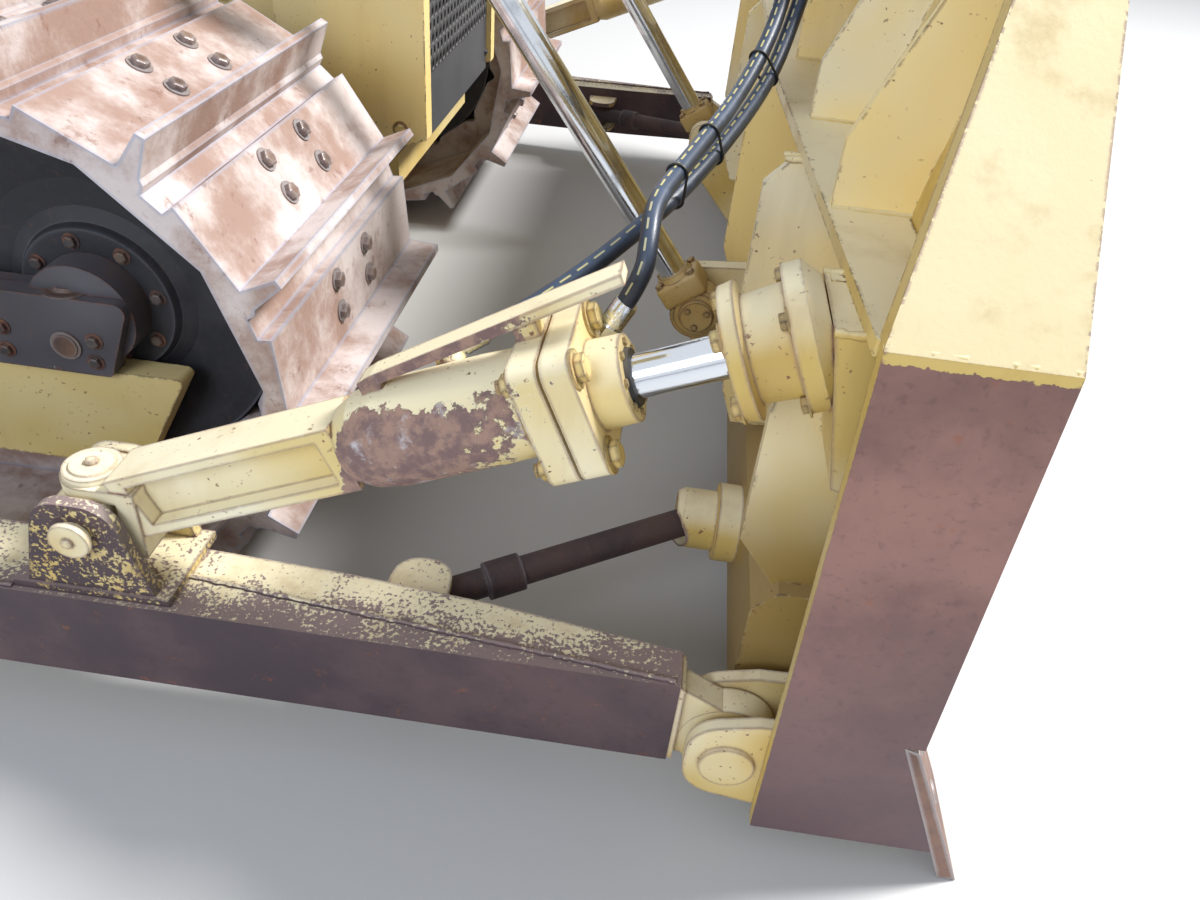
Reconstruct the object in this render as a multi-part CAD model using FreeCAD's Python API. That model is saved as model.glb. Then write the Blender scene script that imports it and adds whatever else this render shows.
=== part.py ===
import FreeCAD, Part
import math
import os
from FreeCAD import Placement, Rotation
from FreeCAD import Vector as V

os.makedirs("parts", exist_ok=True)

# Crawler bulldozer. Millimetres, +X forward to the blade, +Y left, +Z up.
# The origin lies on the ground at the middle of the machine's length and width.

# Whole machine
HALF_LENGTH = 2725.0
FIT = 0.3
SEAT = 0.2

# Tracks
LINK_COUNT = 42
LINK_PITCH = 203.2
LINK_ANGLE = 28.8
LINK_PHASE = 0.465
GAUGE_HALF = 1025.0
SHOE_WIDTH = 760.0
PLATE_INNER = 62.0
PLATE_OUTER = 85.0
GROUSER_TIP = 150.0
BAND_INNER = 50.0
RAIL_DEPTH = 50.0
RAIL_NEAR = 55.0
RAIL_FAR = 105.0
IDLER_X = 1000.0
IDLER_HUB = RAIL_FAR + 2.0
IDLER_SHAFT = 45.0
WRAP_RADIUS = LINK_PITCH / 2.0 / math.sin(math.radians(LINK_ANGLE / 2.0))
WHEEL_Z = WRAP_RADIUS + GROUSER_TIP
WRAP_LINKS = 180.0 / LINK_ANGLE
RUN_LINKS = LINK_COUNT / 2.0 - WRAP_LINKS
SPROCKET_X = IDLER_X - RUN_LINKS * LINK_PITCH
TREAD_RADIUS = WRAP_RADIUS * math.cos(math.radians(LINK_ANGLE / 2.0)) - RAIL_DEPTH - SEAT
LOW_RAIL_Z = WHEEL_Z - WRAP_RADIUS + RAIL_DEPTH
TOP_RAIL_Z = WHEEL_Z + WRAP_RADIUS - RAIL_DEPTH

# Track frames and rollers
FRAME_HALF = 150.0
FRAME_LOW = 400.0
FRAME_TOP = 580.0
FRAME_REAR = -1450.0
FRAME_FRONT = 540.0
FRAME_SIDE = 14.0
ROLLER_RADIUS = 90.0
ROLLER_COUNT = 7
ROLLER_FIRST = FRAME_FRONT - 40.0
ROLLER_STEP = 325.0
YOKE_LOW = FRAME_LOW + 40.0
YOKE_TOP = WHEEL_Z + 47.0
YOKE_REAR = IDLER_X - 220.0
YOKE_FRONT = IDLER_X + 45.0
YOKE_INNER = IDLER_HUB + 1.0
YOKE_OUTER = YOKE_INNER + 82.0
NOSE_INNER = IDLER_HUB + 8.0
NOSE_LOW = FRAME_LOW - 200.0
NOSE_REAR = ROLLER_FIRST + ROLLER_RADIUS + 30.0
NOSE_FRONT = IDLER_X + 180.0
CARRIER_RADIUS = 75.0
CARRIER_PLACES = (-100.0, -1050.0)
SPROCKET_TEETH = 25
BUSHING_RADIUS = 34.0
DRUM_RADIUS = 262.0

# Push arms, hung on trunnions outside the tracks
TRUNNION_X = -650.0
TRUNNION_Z = 290.0
JOURNAL_RADIUS = 65.0
RING_RADIUS = 85.0
ARM_WIDTH = 154.0
ARM_ROOM = 121.0
ARM_INNER = GAUGE_HALF + SHOE_WIDTH / 2.0 + ARM_ROOM
ARM_OUTER = ARM_INNER + ARM_WIDTH
ARM_LOW = 140.0
ARM_TOP = 330.0
HALF_WIDTH = ARM_OUTER + 55.0
ARM_FRONT = HALF_LENGTH - 525.0
EYE_X = HALF_LENGTH - 430.0
EYE_Z = 190.0
EYE_Y = ARM_OUTER - 37.0
EYE_RADIUS = 82.0
EYE_HALF = 30.0
ARM_PIN_RADIUS = 30.0
ARM_PIN_ROOM = 14.0
EYE_SIDE_GAP = 0.95
BEAM_REAR = HALF_LENGTH - 425.0
LUG_GAP = 37.0
# Half the width kept free between the lugs for the bearing cap of a lift rod
ROD_END_HALF = 44.0

# Blade braces over the push arms
STRUT_Y = ARM_OUTER - 100.0
FORK_X = HALF_LENGTH - 1492.0
FORK_Z = 460.0
BALL_X = HALF_LENGTH - 490.0
BALL_Z = 905.0
BALL_RADIUS = 42.0
BALL_ROOM = 13.0
TILT_ROD_RADIUS = 31.0
TIE_START = V(ARM_FRONT - 470.0, -ARM_INNER + 36.0, 236.0)
TIE_END = V(BEAM_REAR - 85.0, TIE_START.y + 275.0, 290.0)
TIE_BALL = 44.0
TIE_TIP_BALL = 30.0
TIE_TUBE = 28.0
TIE_SLEEVE = 36.0
FLANGE_HALF = 96.0
TILT_FLANGE = 770.0
TILT_COVER = TILT_FLANGE + 46.0
TILT_FACE = TILT_COVER + 40.0
TILT_BARREL = 80.0

# Tilt cylinder's hoses: each from its port to the cover on the blade's back, as chosen points
HOSE_RADIUS = 14.0
FERRULE_RADIUS = 17.5
FERRULE_LENGTH = 57.0
BRACE_FOOT = V(FORK_X, -STRUT_Y, FORK_Z)
FRONT_HOSE = [BRACE_FOOT + V(*point) for point in (
    (778, 80, 383), (823, 90, 467), (824, 125, 512), (823, 190, 540), (859, 320, 554),
    (931, 540, 594), (979, 700, 657), (1000, 800, 717), (1015, 890, 786),
)]
REAR_HOSE = [BRACE_FOOT + V(*point) for point in (
    (557, 72, 326), (629, 110, 362), (734, 160, 433), (801, 218, 482), (855, 298, 514),
    (918, 458, 545), (989, 655, 601), (1023, 786, 676), (1043, 871, 744),
)]

# Lift cylinders
LIFT_Y = 660.0
LIFT_PIN_X = BEAM_REAR - 124.0
LIFT_PIN_Z = 469.0
YOKE_X = 1330.0
YOKE_Z = 1578.0
LIFT_PIN_RADIUS = 32.0
LIFT_ROD_RADIUS = 32.0
LIFT_BARREL_RADIUS = 58.0
LIFT_ROD_LENGTH = 1530.0
LIFT_BARREL_FRONT = 330.0
LIFT_BARREL_BACK = 900.0

# Blade
BLADE_FRONT = HALF_LENGTH - 148.0
BLADE_REAR = HALF_LENGTH - 391.0
BLADE_LOW = 70.0
FOLD_Z = 1000.0
BLADE_TOP = 1380.0
BIT_START = HALF_WIDTH - 215.0
CORNER_Y = HALF_WIDTH - 305.0
END_THICK = 25.0
SHEET_THICK = 20.0
HEEL_Z = 331.0
HEEL_X = HALF_LENGTH - 180.0
FOOT_X = HALF_LENGTH - 63.0
HEAD_X = HALF_LENGTH - 171.0
HOLLOW_X = HALF_LENGTH - 285.0
BEAM_LOW = 130.0
BEAM_TOP = 440.0
SHELF_THICK = 22.0
SHELF_REAR = BLADE_REAR - 72.0
RIB_REAR = BLADE_REAR - 22.0
RIB_HEAD = BLADE_REAR + 86.0
RIB_BEND_Z = FOLD_Z + 100.0
TOP_PLATE = 22.0
TOP_DEPTH = 115.0
HIGH_RIBS = (0.0, 440.0, 880.0, 1310.0)
LOW_RIBS = (350.0, 1050.0)
COVER_REAR = BLADE_REAR - 264.0
COVER_THICK = 12.0

# Body
HULL_HALF = 430.0
HULL_LOW = 430.0
DECK_Z = 1130.0
ENGINE_BED = 800.0
HULL_REAR = -2250.0
HULL_FRONT = 1380.0
CASE_FRONT = -1560.0
EQUALIZER_X = 420.0
PIVOT_X = -1300.0
DRAWBAR_HALF = 70.0
DRAWBAR_LOW = 462.0
DRAWBAR_TOP = 520.0
DRAWBAR_HOLE = 27.0
GUARD_FRONT = 1465.0
GUARD_REAR = 1110.0
GUARD_WALL = 36.0
GUARD_LIP = 14.0
GUARD_HALF = 410.0
GUARD_LOW = 640.0
GUARD_TOP = 1790.0
HOOD_HALF = 400.0
HOOD_TOP = 1760.0
CAB_REAR = -1450.0
CAB_FRONT = 60.0
CAB_HALF = 760.0
CAB_NOSE_HALF = 450.0
CAB_BEND_X = -250.0
CAB_FLOOR_TOP = 1190.0
CAB_ROOF_LOW = 2900.0
ROOF_EDGE = 110.0
CAB_WALL = 45.0
WINDOW_LOW = 1560.0
SIDE_WINDOW_LOW = 1800.0
REAR_WINDOW_LOW = 1850.0
PANE_BACK = 18.0
PANE_THICK = 6.0
DOOR_REAR = -1010.0
DOOR_FRONT = -275.0
DOOR_LOW = 1215.0
DOOR_TOP = 2820.0
DOOR_GAP = 6.0
HINGE_X = DOOR_REAR + 3.0
HINGE_Y = -CAB_HALF - 12.0
HINGE_HEIGHTS = (1400.0, 2600.0)
TANK_FRONT = CAB_REAR - 70.0
TANK_TOP = DECK_Z + 670.0
BOX_TOP = DECK_Z + 530.0
FENDER_OUTER = -1330.0
FENDER_THICK = 25.0
FENDER_Z = DECK_Z + 20.0
BOX_REAR = CAB_REAR - 250.0
BOX_FRONT = DOOR_REAR - 80.0
BOX_OUTER = FENDER_OUTER + 90.0
PANEL_THICK = 25.0
RAIL_RADIUS = 16.0
LAMP_RADIUS = 50.0
LAMP_RISE = 60.0


def box(x0, x1, y0, y1, z0, z1):
    return Part.makeBox(x1 - x0, y1 - y0, z1 - z0, V(x0, y0, z0))


def joined(pieces):
    whole = pieces[0]
    if len(pieces) > 1:
        whole = pieces[0].fuse(pieces[1:])
    return whole.removeSplitter()


def group(pieces):
    return Part.makeCompound(pieces)


def other_side(shape):
    return shape.mirror(V(0, 0, 0), V(0, 1, 0))


def corner_wire(corners, put):
    """Closed wire through (a, b) or (a, b, radius) corners, placed by put(a, b)."""
    count = len(corners)
    flat = [V(c[0], c[1], 0) for c in corners]
    edges = []
    ends = []
    for i, corner in enumerate(corners):
        radius = corner[2] if len(corner) > 2 else 0.0
        here = flat[i]
        if radius <= 0:
            ends.append((here, here, None))
            continue
        back = (flat[i - 1] - here).normalize()
        ahead = (flat[(i + 1) % count] - here).normalize()
        half = back.getAngle(ahead) / 2.0
        reach = radius / math.tan(half)
        middle = (back + ahead).normalize()
        top = here + middle * (radius / math.sin(half) - radius)
        ends.append((here + back * reach, here + ahead * reach, top))
    for i in range(count):
        first, last, top = ends[i]
        if top is not None:
            edges.append(Part.Arc(put(first.x, first.y), put(top.x, top.y), put(last.x, last.y)).toShape())
        following = ends[(i + 1) % count][0]
        if (following - last).Length > 1e-6:
            edges.append(Part.LineSegment(put(last.x, last.y), put(following.x, following.y)).toShape())
    return Part.Wire(edges)


def slab(axis, corners, a, b):
    """Outline across an axis, swept along that axis from a to b."""
    put = {
        "x": lambda p, q: V(a, p, q),
        "y": lambda p, q: V(p, a, q),
        "z": lambda p, q: V(p, q, a),
    }[axis]
    way = {"x": V(b - a, 0, 0), "y": V(0, b - a, 0), "z": V(0, 0, b - a)}[axis]
    return Part.Face(corner_wire(corners, put)).extrude(way)


def turned(profile, start, way, bore=0.0):
    """Profile of (along, radius) pairs turned about the line that leaves start in direction way."""
    points = [V(bore, 0, profile[0][0])]
    points += [V(radius, 0, along) for along, radius in profile]
    points.append(V(bore, 0, profile[-1][0]))
    points.append(points[0])
    solid = Part.Face(Part.makePolygon(points)).revolve(V(0, 0, 0), V(0, 0, 1), 360)
    solid.Placement = Placement(start, Rotation(V(0, 0, 1), way))
    return solid


def rod(start, end, radius):
    return Part.makeCylinder(radius, (end - start).Length, start, end - start)


def bent_tube(points, radius):
    """Round tube along straight runs joined by tangent arcs as large as the runs allow."""
    edges = []
    bends = []
    start = points[0]
    for before, corner, after in zip(points, points[1:], points[2:]):
        back = before - corner
        ahead = after - corner
        reach = 0.45 * min(back.Length, ahead.Length)
        half = back.getAngle(ahead) / 2.0
        back.normalize()
        ahead.normalize()
        bend = reach * math.tan(half)
        bends.append("%.0f" % bend)
        inner = corner + (back + ahead).normalize() * (bend / math.sin(half) - bend)
        first = corner + back * reach
        last = corner + ahead * reach
        edges.append(Part.LineSegment(start, first).toShape())
        edges.append(Part.Arc(first, inner, last).toShape())
        start = last
    edges.append(Part.LineSegment(start, points[-1]).toShape())
    print("bent tube of radius %.0f mm, arcs of radius" % radius, ", ".join(bends), "mm")
    circle = Part.Circle(points[0], points[1] - points[0], radius).toShape()
    return Part.Wire(edges).makePipeShell([Part.Wire([circle])], True, False)


def save(name, shape):
    shape.exportStep("parts/" + name + ".step")


def save_pair(name, right):
    save(name + "_right", right)
    save(name + "_left", other_side(right))


# Tracks: a fixed loop of links, each with its shoe plate and one grouser.

def loop_point(links):
    """Pin centre in the track's plane after a number of links from the idler's top."""
    links = links % LINK_COUNT
    if links < WRAP_LINKS:
        turn = math.radians(90.0 - links * LINK_ANGLE)
        return V(IDLER_X + WRAP_RADIUS * math.cos(turn), 0, WHEEL_Z + WRAP_RADIUS * math.sin(turn))
    links -= WRAP_LINKS
    if links < RUN_LINKS:
        return V(IDLER_X - links * LINK_PITCH, 0, WHEEL_Z - WRAP_RADIUS)
    links -= RUN_LINKS
    if links < WRAP_LINKS:
        turn = math.radians(-90.0 - links * LINK_ANGLE)
        return V(SPROCKET_X + WRAP_RADIUS * math.cos(turn), 0, WHEEL_Z + WRAP_RADIUS * math.sin(turn))
    links -= WRAP_LINKS
    return V(SPROCKET_X + links * LINK_PITCH, 0, WHEEL_Z + WRAP_RADIUS)


def loop_outline(link_profile):
    """Outline round the loop from one link's (along, height) points."""
    points = []
    for i in range(LINK_COUNT):
        first = loop_point(LINK_PHASE + i)
        last = loop_point(LINK_PHASE + i + 1)
        along = (last - first).normalize()
        out = V(-along.z, 0, along.x)
        middle = (first + last) * 0.5
        for step, height in link_profile:
            points.append(middle + along * step + out * height)
    return points


def ring(outer, inner, y0, y1):
    faces = []
    for points in (outer, inner):
        placed = [V(p.x, y0, p.z) for p in points]
        faces.append(Part.Face(Part.makePolygon(placed + [placed[0]])))
    return faces[0].cut(faces[1]).extrude(V(0, y1 - y0, 0))


def track(centre):
    half_plate = LINK_PITCH / 2.0 - 3.5
    half_link = LINK_PITCH / 2.0 - 1.0
    shoe = [
        (-half_plate, PLATE_INNER),
        (-half_plate, PLATE_OUTER),
        (54.0, PLATE_OUTER),
        (64.0, GROUSER_TIP),
        (80.0, GROUSER_TIP),
        (90.0, PLATE_OUTER),
        (half_plate, PLATE_OUTER - 7.0),
        (half_plate, PLATE_INNER),
    ]
    band = [(0.0, BAND_INNER)]
    rail_out = [(-half_link, BAND_INNER + 6.0), (half_link, BAND_INNER + 6.0)]
    rail_in = [(-87.0, -34.0), (-60.0, -RAIL_DEPTH), (60.0, -RAIL_DEPTH), (87.0, -34.0)]
    pieces = [ring(loop_outline(shoe), loop_outline(band), centre - SHOE_WIDTH / 2.0,
                   centre + SHOE_WIDTH / 2.0)]
    for y0, y1 in ((-RAIL_FAR, -RAIL_NEAR), (RAIL_NEAR, RAIL_FAR)):
        pieces.append(ring(loop_outline(rail_out), loop_outline(rail_in), centre + y0, centre + y1))
    return joined(pieces)


# Wheels that carry the tracks

def idler(side):
    """Idler wheel: two dished sides with a raised hub ring, and a guide rib between the treads."""
    rim = TREAD_RADIUS
    flange = TREAD_RADIUS + 16.0
    half = RAIL_FAR - 2.0
    dish = [(-IDLER_HUB, 90.0), (-IDLER_HUB, 150.0), (-92.0, 158.0), (-80.0, 185.0), (-84.0, 240.0),
            (-half + 3.0, 315.0),
            (-half, rim), (-50.0, rim), (-46.0, flange)]
    profile = dish + [(-along, radius) for along, radius in reversed(dish)]
    return turned(profile, V(IDLER_X, side * GAUGE_HALF, WHEEL_Z), V(0, 1, 0), bore=IDLER_SHAFT)


def idler_yoke(side):
    """Two sliding arms with the idler's bearing housings, their outer blocks and the shaft."""
    centre = side * GAUGE_HALF
    pieces = []
    arm = [(FRAME_FRONT, YOKE_LOW), (YOKE_FRONT - 10.0, YOKE_LOW, 30.0),
           (YOKE_FRONT + 55.0, YOKE_TOP - 8.0, 30.0),
           (YOKE_REAR, YOKE_TOP - 8.0), (FRAME_FRONT, FRAME_TOP - 20.0)]
    block = [(YOKE_REAR, YOKE_LOW, 12.0), (YOKE_FRONT, YOKE_LOW, 12.0), (YOKE_FRONT + 65.0, YOKE_TOP, 20.0),
             (YOKE_REAR, YOKE_TOP, 12.0)]
    for way in (-1.0, 1.0):
        inner = centre + way * YOKE_INNER
        middle = centre + way * (YOKE_INNER + 40.0)
        outer = centre + way * YOKE_OUTER
        pieces.append(slab("y", arm, min(inner, middle), max(inner, middle)))
        pieces.append(slab("y", block, min(middle, outer), max(middle, outer)))
        pieces.append(rod(V(IDLER_X, inner, WHEEL_Z),
                          V(IDLER_X, centre + way * (YOKE_OUTER - 22.0), WHEEL_Z), 104.0))
    reach = YOKE_INNER + 12.0
    pieces.append(rod(V(IDLER_X, centre - reach, WHEEL_Z), V(IDLER_X, centre + reach, WHEEL_Z),
                      IDLER_SHAFT - SEAT))
    pieces.append(box(FRAME_FRONT, FRAME_FRONT + 90.0, centre - reach, centre + reach, YOKE_LOW,
                      FRAME_TOP - 30.0))
    return joined(pieces)


def sprocket(side):
    centre = side * GAUGE_HALF
    tip = WRAP_RADIUS + 6.0
    root = WRAP_RADIUS - BUSHING_RADIUS
    first = loop_point(LINK_PHASE + WRAP_LINKS + RUN_LINKS + 2.0)
    start = math.atan2(first.z - WHEEL_Z, first.x - SPROCKET_X)
    step = 2.0 * math.pi / SPROCKET_TEETH
    tooth = [(0.20, root), (0.36, tip - 8.0), (0.44, tip), (0.56, tip), (0.64, tip - 8.0), (0.80, root)]
    corners = []
    for i in range(SPROCKET_TEETH):
        for part, radius in tooth:
            turn = start + (i + part) * step
            corners.append((SPROCKET_X + radius * math.cos(turn), WHEEL_Z + radius * math.sin(turn)))
    disc = slab("y", corners, centre - 34.0, centre + 34.0)
    hole = rod(V(SPROCKET_X, centre - 40.0, WHEEL_Z), V(SPROCKET_X, centre + 40.0, WHEEL_Z),
               DRUM_RADIUS + SEAT)
    return disc.cut(hole)


def final_drive(side):
    start = V(SPROCKET_X, side * HULL_HALF, WHEEL_Z)
    near = GAUGE_HALF - HULL_HALF
    profile = [
        (0.0, 250.0), (60.0, 250.0), (90.0, 205.0), (near - 190.0, 205.0), (near - 150.0, DRUM_RADIUS),
        (near + 110.0, DRUM_RADIUS), (near + 150.0, 215.0), (near + 170.0, 130.0), (near + 190.0, 120.0),
    ]
    return turned(profile, start, V(0, side, 0))


def rollers(side):
    centre = side * GAUGE_HALF
    pieces = []
    z = LOW_RAIL_Z - SEAT + ROLLER_RADIUS
    flange = ROLLER_RADIUS + 14.0
    shaft = FRAME_HALF - 10.0
    half = [(-shaft, 50.0), (-RAIL_FAR - 17.0, 60.0), (-RAIL_FAR - 17.0, flange), (-RAIL_FAR - 3.0, flange),
            (-RAIL_FAR - 1.0, ROLLER_RADIUS)]
    profile = half + [(-along, radius) for along, radius in reversed(half)]
    for i in range(ROLLER_COUNT):
        x = ROLLER_FIRST - i * ROLLER_STEP
        pieces.append(turned(profile, V(x, centre, z + SEAT * 2.0), V(0, 1, 0)))
    top = TOP_RAIL_Z - SEAT - CARRIER_RADIUS
    lip = CARRIER_RADIUS + 13.0
    end = RAIL_FAR + 15.0
    upper = [(-end, lip), (-RAIL_FAR - 3.0, lip), (-RAIL_FAR - 1.0, CARRIER_RADIUS),
             (RAIL_FAR + 1.0, CARRIER_RADIUS),
             (RAIL_FAR + 3.0, lip), (end, lip)]
    for x in CARRIER_PLACES:
        pieces.append(turned(upper, V(x, centre, top), V(0, 1, 0), bore=30.0))
    return pieces


def track_frame(side):
    """Box beam over the lower rollers, with their saddles, guards, the nose and the carrier posts."""
    centre = side * GAUGE_HALF
    beam_outline = [(FRAME_REAR, FRAME_LOW), (FRAME_FRONT, FRAME_LOW), (FRAME_FRONT, FRAME_TOP - 10.0),
                    (FRAME_FRONT - 120.0, FRAME_TOP), (FRAME_REAR + 90.0, FRAME_TOP),
                    (FRAME_REAR, FRAME_LOW + 90.0)]
    pieces = [slab("y", beam_outline, centre - FRAME_HALF, centre + FRAME_HALF)]
    shaft_z = LOW_RAIL_Z + ROLLER_RADIUS
    for i in range(ROLLER_COUNT):
        x = ROLLER_FIRST - i * ROLLER_STEP
        saddle = [(x - 55.0, FRAME_LOW + 10.0), (x - 42.0, shaft_z - 30.0, 20.0),
                  (x + 42.0, shaft_z - 30.0, 20.0),
                  (x + 55.0, FRAME_LOW + 10.0)]
        for y in (-FRAME_HALF, FRAME_HALF - 9.5):
            pieces.append(slab("y", saddle, centre + y, centre + y + 9.5))
    post_top = TOP_RAIL_Z - CARRIER_RADIUS
    for x in CARRIER_PLACES:
        inner = centre - side * (FRAME_HALF - 10.0)
        outer = centre - side * (FRAME_HALF + 30.0)
        post = [(x - 70.0, FRAME_TOP - 20.0), (x + 70.0, FRAME_TOP - 20.0),
                (x + 40.0, post_top + 40.0, 30.0),
                (x - 40.0, post_top + 40.0, 30.0)]
        pieces.append(slab("y", post, min(inner, outer), max(inner, outer)))
        pieces.append(rod(V(x, outer, post_top), V(x, centre + side * (RAIL_FAR + 5.0), post_top),
                          30.0 - SEAT))
    return joined(pieces + roller_guard(centre) + frame_nose(centre))


def roller_guard(centre):
    """Plates that cover the lower rollers on both sides."""
    front = NOSE_REAR + 5.0
    rear = FRAME_REAR - 110.0
    outline = [(front, 262.0), (front - 70.0, 225.0), (rear + 50.0, 225.0), (rear, 262.0), (rear, 330.0),
               (FRAME_REAR, 520.0), (front - 70.0, 520.0), (front, YOKE_LOW)]
    return [slab("y", outline, centre + y, centre + y + FRAME_SIDE) for y in (-FRAME_HALF - FRAME_SIDE,
            FRAME_HALF)]


def frame_nose(centre):
    """Boxes beside the idler that carry the frame forward under its bearing blocks."""
    top = YOKE_LOW - FIT
    outline = [(FRAME_FRONT - 60.0, FRAME_LOW), (NOSE_REAR, FRAME_LOW), (NOSE_REAR, NOSE_LOW + 20.0, 40.0),
               (NOSE_FRONT - 130.0, NOSE_LOW, 25.0), (NOSE_FRONT, top, 12.0), (FRAME_FRONT - 60.0, top)]
    noses = []
    for way in (-1.0, 1.0):
        y0 = centre + way * NOSE_INNER
        y1 = centre + way * YOKE_OUTER
        nose = slab("y", outline, min(y0, y1), max(y0, y1))
        edge = [(NOSE_REAR, y1 + way * 1.0), (NOSE_FRONT + 1.0, y1 - way * 22.0),
                (NOSE_FRONT + 1.0, y1 + way * 1.0)]
        noses.append(nose.cut(slab("z", edge, NOSE_LOW - 1.0, YOKE_LOW)))
    return noses


def trunnion(side):
    """Shaft on the track frame's side that carries the push arm's bearing."""
    base = GAUGE_HALF + FRAME_HALF + FRAME_SIDE
    start = V(TRUNNION_X, side * base, TRUNNION_Z)
    inner = ARM_INNER - base
    outer = ARM_OUTER - base
    profile = [
        (0.0, 60.0), (20.0, 60.0), (inner - 107.0, 95.0), (inner - 20.0, 95.0),
        (inner - 4.0, RING_RADIUS - 1.0),
        (inner - 4.0, JOURNAL_RADIUS), (outer + 4.0, JOURNAL_RADIUS), (outer + 4.0, 100.0),
        (outer + 22.0, 100.0),
        (outer + 28.0, 90.0),
    ]
    shaft = turned(profile, start, V(0, side, 0))
    foot = [(TRUNNION_X - 190.0, FRAME_LOW + 100.0, 30.0), (TRUNNION_X - 110.0, TRUNNION_Z - 60.0, 50.0),
            (TRUNNION_X + 110.0, TRUNNION_Z - 60.0, 50.0), (TRUNNION_X + 190.0, FRAME_LOW + 100.0, 30.0)]
    y0 = side * base
    y1 = side * (base + 40.0)
    return joined([shaft, slab("y", foot, min(y0, y1), max(y0, y1))])


# Body of the machine

def main_frame():
    """Hull with the rear gear case, equalizer bar and pivot tube; the drawbar's slot is cut in its back."""
    half = HOOD_HALF - PANEL_THICK - SEAT
    case = HULL_REAR + 10.0
    outline = [(HULL_REAR, 520.0, 60.0), (HULL_REAR + 150.0, 450.0, 60.0), (CASE_FRONT + 60.0, HULL_LOW),
               (HULL_FRONT - 480.0, HULL_LOW), (HULL_FRONT, 560.0), (HULL_FRONT, GUARD_LOW - SEAT),
               (GUARD_REAR - SEAT, GUARD_LOW - SEAT), (GUARD_REAR - SEAT, ENGINE_BED),
               (CAB_FRONT, ENGINE_BED),
               (CAB_FRONT, DECK_Z), (HULL_REAR, DECK_Z, 40.0)]
    rear = [(case, 540.0, 60.0), (CASE_FRONT, HULL_LOW + 40.0, 60.0), (CASE_FRONT, 1000.0, 60.0),
            (case, 1000.0, 60.0)]
    pieces = [slab("y", outline, -half, half), slab("y", rear, -HULL_HALF, HULL_HALF)]
    reach = GAUGE_HALF + 60.0
    pieces.append(box(EQUALIZER_X - 60.0, EQUALIZER_X + 60.0, -reach, reach, FRAME_TOP, FRAME_TOP + 110.0))
    inner = GAUGE_HALF - FRAME_HALF - FRAME_SIDE
    pieces.append(rod(V(PIVOT_X, -inner, 480.0), V(PIVOT_X, inner, 480.0), 75.0))
    slot = box(HULL_REAR - 150.0, HULL_REAR + 51.0, -DRAWBAR_HALF - 1.0, DRAWBAR_HALF + 1.0,
               DRAWBAR_LOW - 22.0,
               DRAWBAR_TOP + SEAT)
    return joined(pieces).cut(slot)


def radiator_guard():
    """Box of thick plate round the radiator, with the grille's mouth in front and its front edges cut
    back."""
    side = GUARD_HALF - GUARD_WALL
    wide = GUARD_HALF + 1.0
    front = GUARD_FRONT + 1.0
    outer = box(GUARD_REAR, GUARD_FRONT, -GUARD_HALF, GUARD_HALF, GUARD_LOW, GUARD_TOP)
    hollow = box(GUARD_REAR - 10.0, GUARD_FRONT - 60.0, -side, side, GUARD_LOW + 30.0,
                 GUARD_TOP - GUARD_WALL)
    mouth = box(GUARD_FRONT - 80.0, GUARD_FRONT + 10.0, -side + GUARD_LIP, side - GUARD_LIP,
                GUARD_LOW + 40.0,
                GUARD_TOP - 80.0)
    lower = [(GUARD_FRONT - 160.0, GUARD_LOW - 1.0), (front, GUARD_LOW - 1.0), (front, GUARD_LOW + 60.0)]
    upper = [(GUARD_FRONT - 140.0, GUARD_TOP + 1.0), (front, GUARD_TOP - 60.0), (front, GUARD_TOP + 1.0)]
    return outer.cut([hollow, mouth, slab("y", lower, -wide, wide), slab("y", upper, -wide, wide)])


def grille():
    """Perforated plate in the guard's mouth: rows of slots in turn shifted by half a step."""
    half = GUARD_HALF - GUARD_WALL - GUARD_LIP - SEAT
    low = GUARD_LOW + 40.0 + SEAT
    plate = box(GUARD_FRONT - 34.0, GUARD_FRONT - 14.0, -half, half, low, GUARD_TOP - 80.0 - SEAT)
    rows = 11
    columns = 6
    step = (2.0 * half - 84.0) / columns
    slots = []
    for row in range(rows):
        z = low + 190.0 + row * 76.0
        shift = step * 0.27 if row % 2 else 0.0
        for column in range(columns):
            y = -half + 62.0 + shift + column * step
            slots.append(box(GUARD_FRONT - 40.0, GUARD_FRONT - 10.0, y, y + 64.0, z, z + 34.0))
    return plate.cut(slots)


def hood():
    side = HOOD_HALF - PANEL_THICK
    low = DECK_Z + 5.0
    outer = [(-HOOD_HALF, low), (HOOD_HALF, low), (HOOD_HALF, HOOD_TOP, 60.0), (-HOOD_HALF, HOOD_TOP, 60.0)]
    inner = [(-side, low - 35.0), (side, low - 35.0), (side, HOOD_TOP - PANEL_THICK, 35.0),
             (-side, HOOD_TOP - PANEL_THICK, 35.0)]
    return slab("x", outer, CAB_FRONT + 20.0,
                GUARD_REAR).cut(slab("x", inner, CAB_FRONT, GUARD_REAR + 10.0))


def side_panel():
    """Right lower engine cover with two banks of louvre slots."""
    rear = CAB_FRONT + 20.0
    front = GUARD_REAR - SEAT
    panel = box(rear, front, -HOOD_HALF, -HOOD_HALF + PANEL_THICK, ENGINE_BED, DECK_Z + 5.0)
    bank = (front - rear) / 2.0
    slots = []
    for column in range(2):
        for row in range(5):
            x = rear + bank * column + 110.0
            z = ENGINE_BED + 70.0 + row * 46.0
            slots.append(box(x, x + bank - 220.0, -HOOD_HALF - 1.0, -HOOD_HALF + PANEL_THICK + 1.0, z,
                             z + 18.0))
    return panel.cut(slots)


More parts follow.
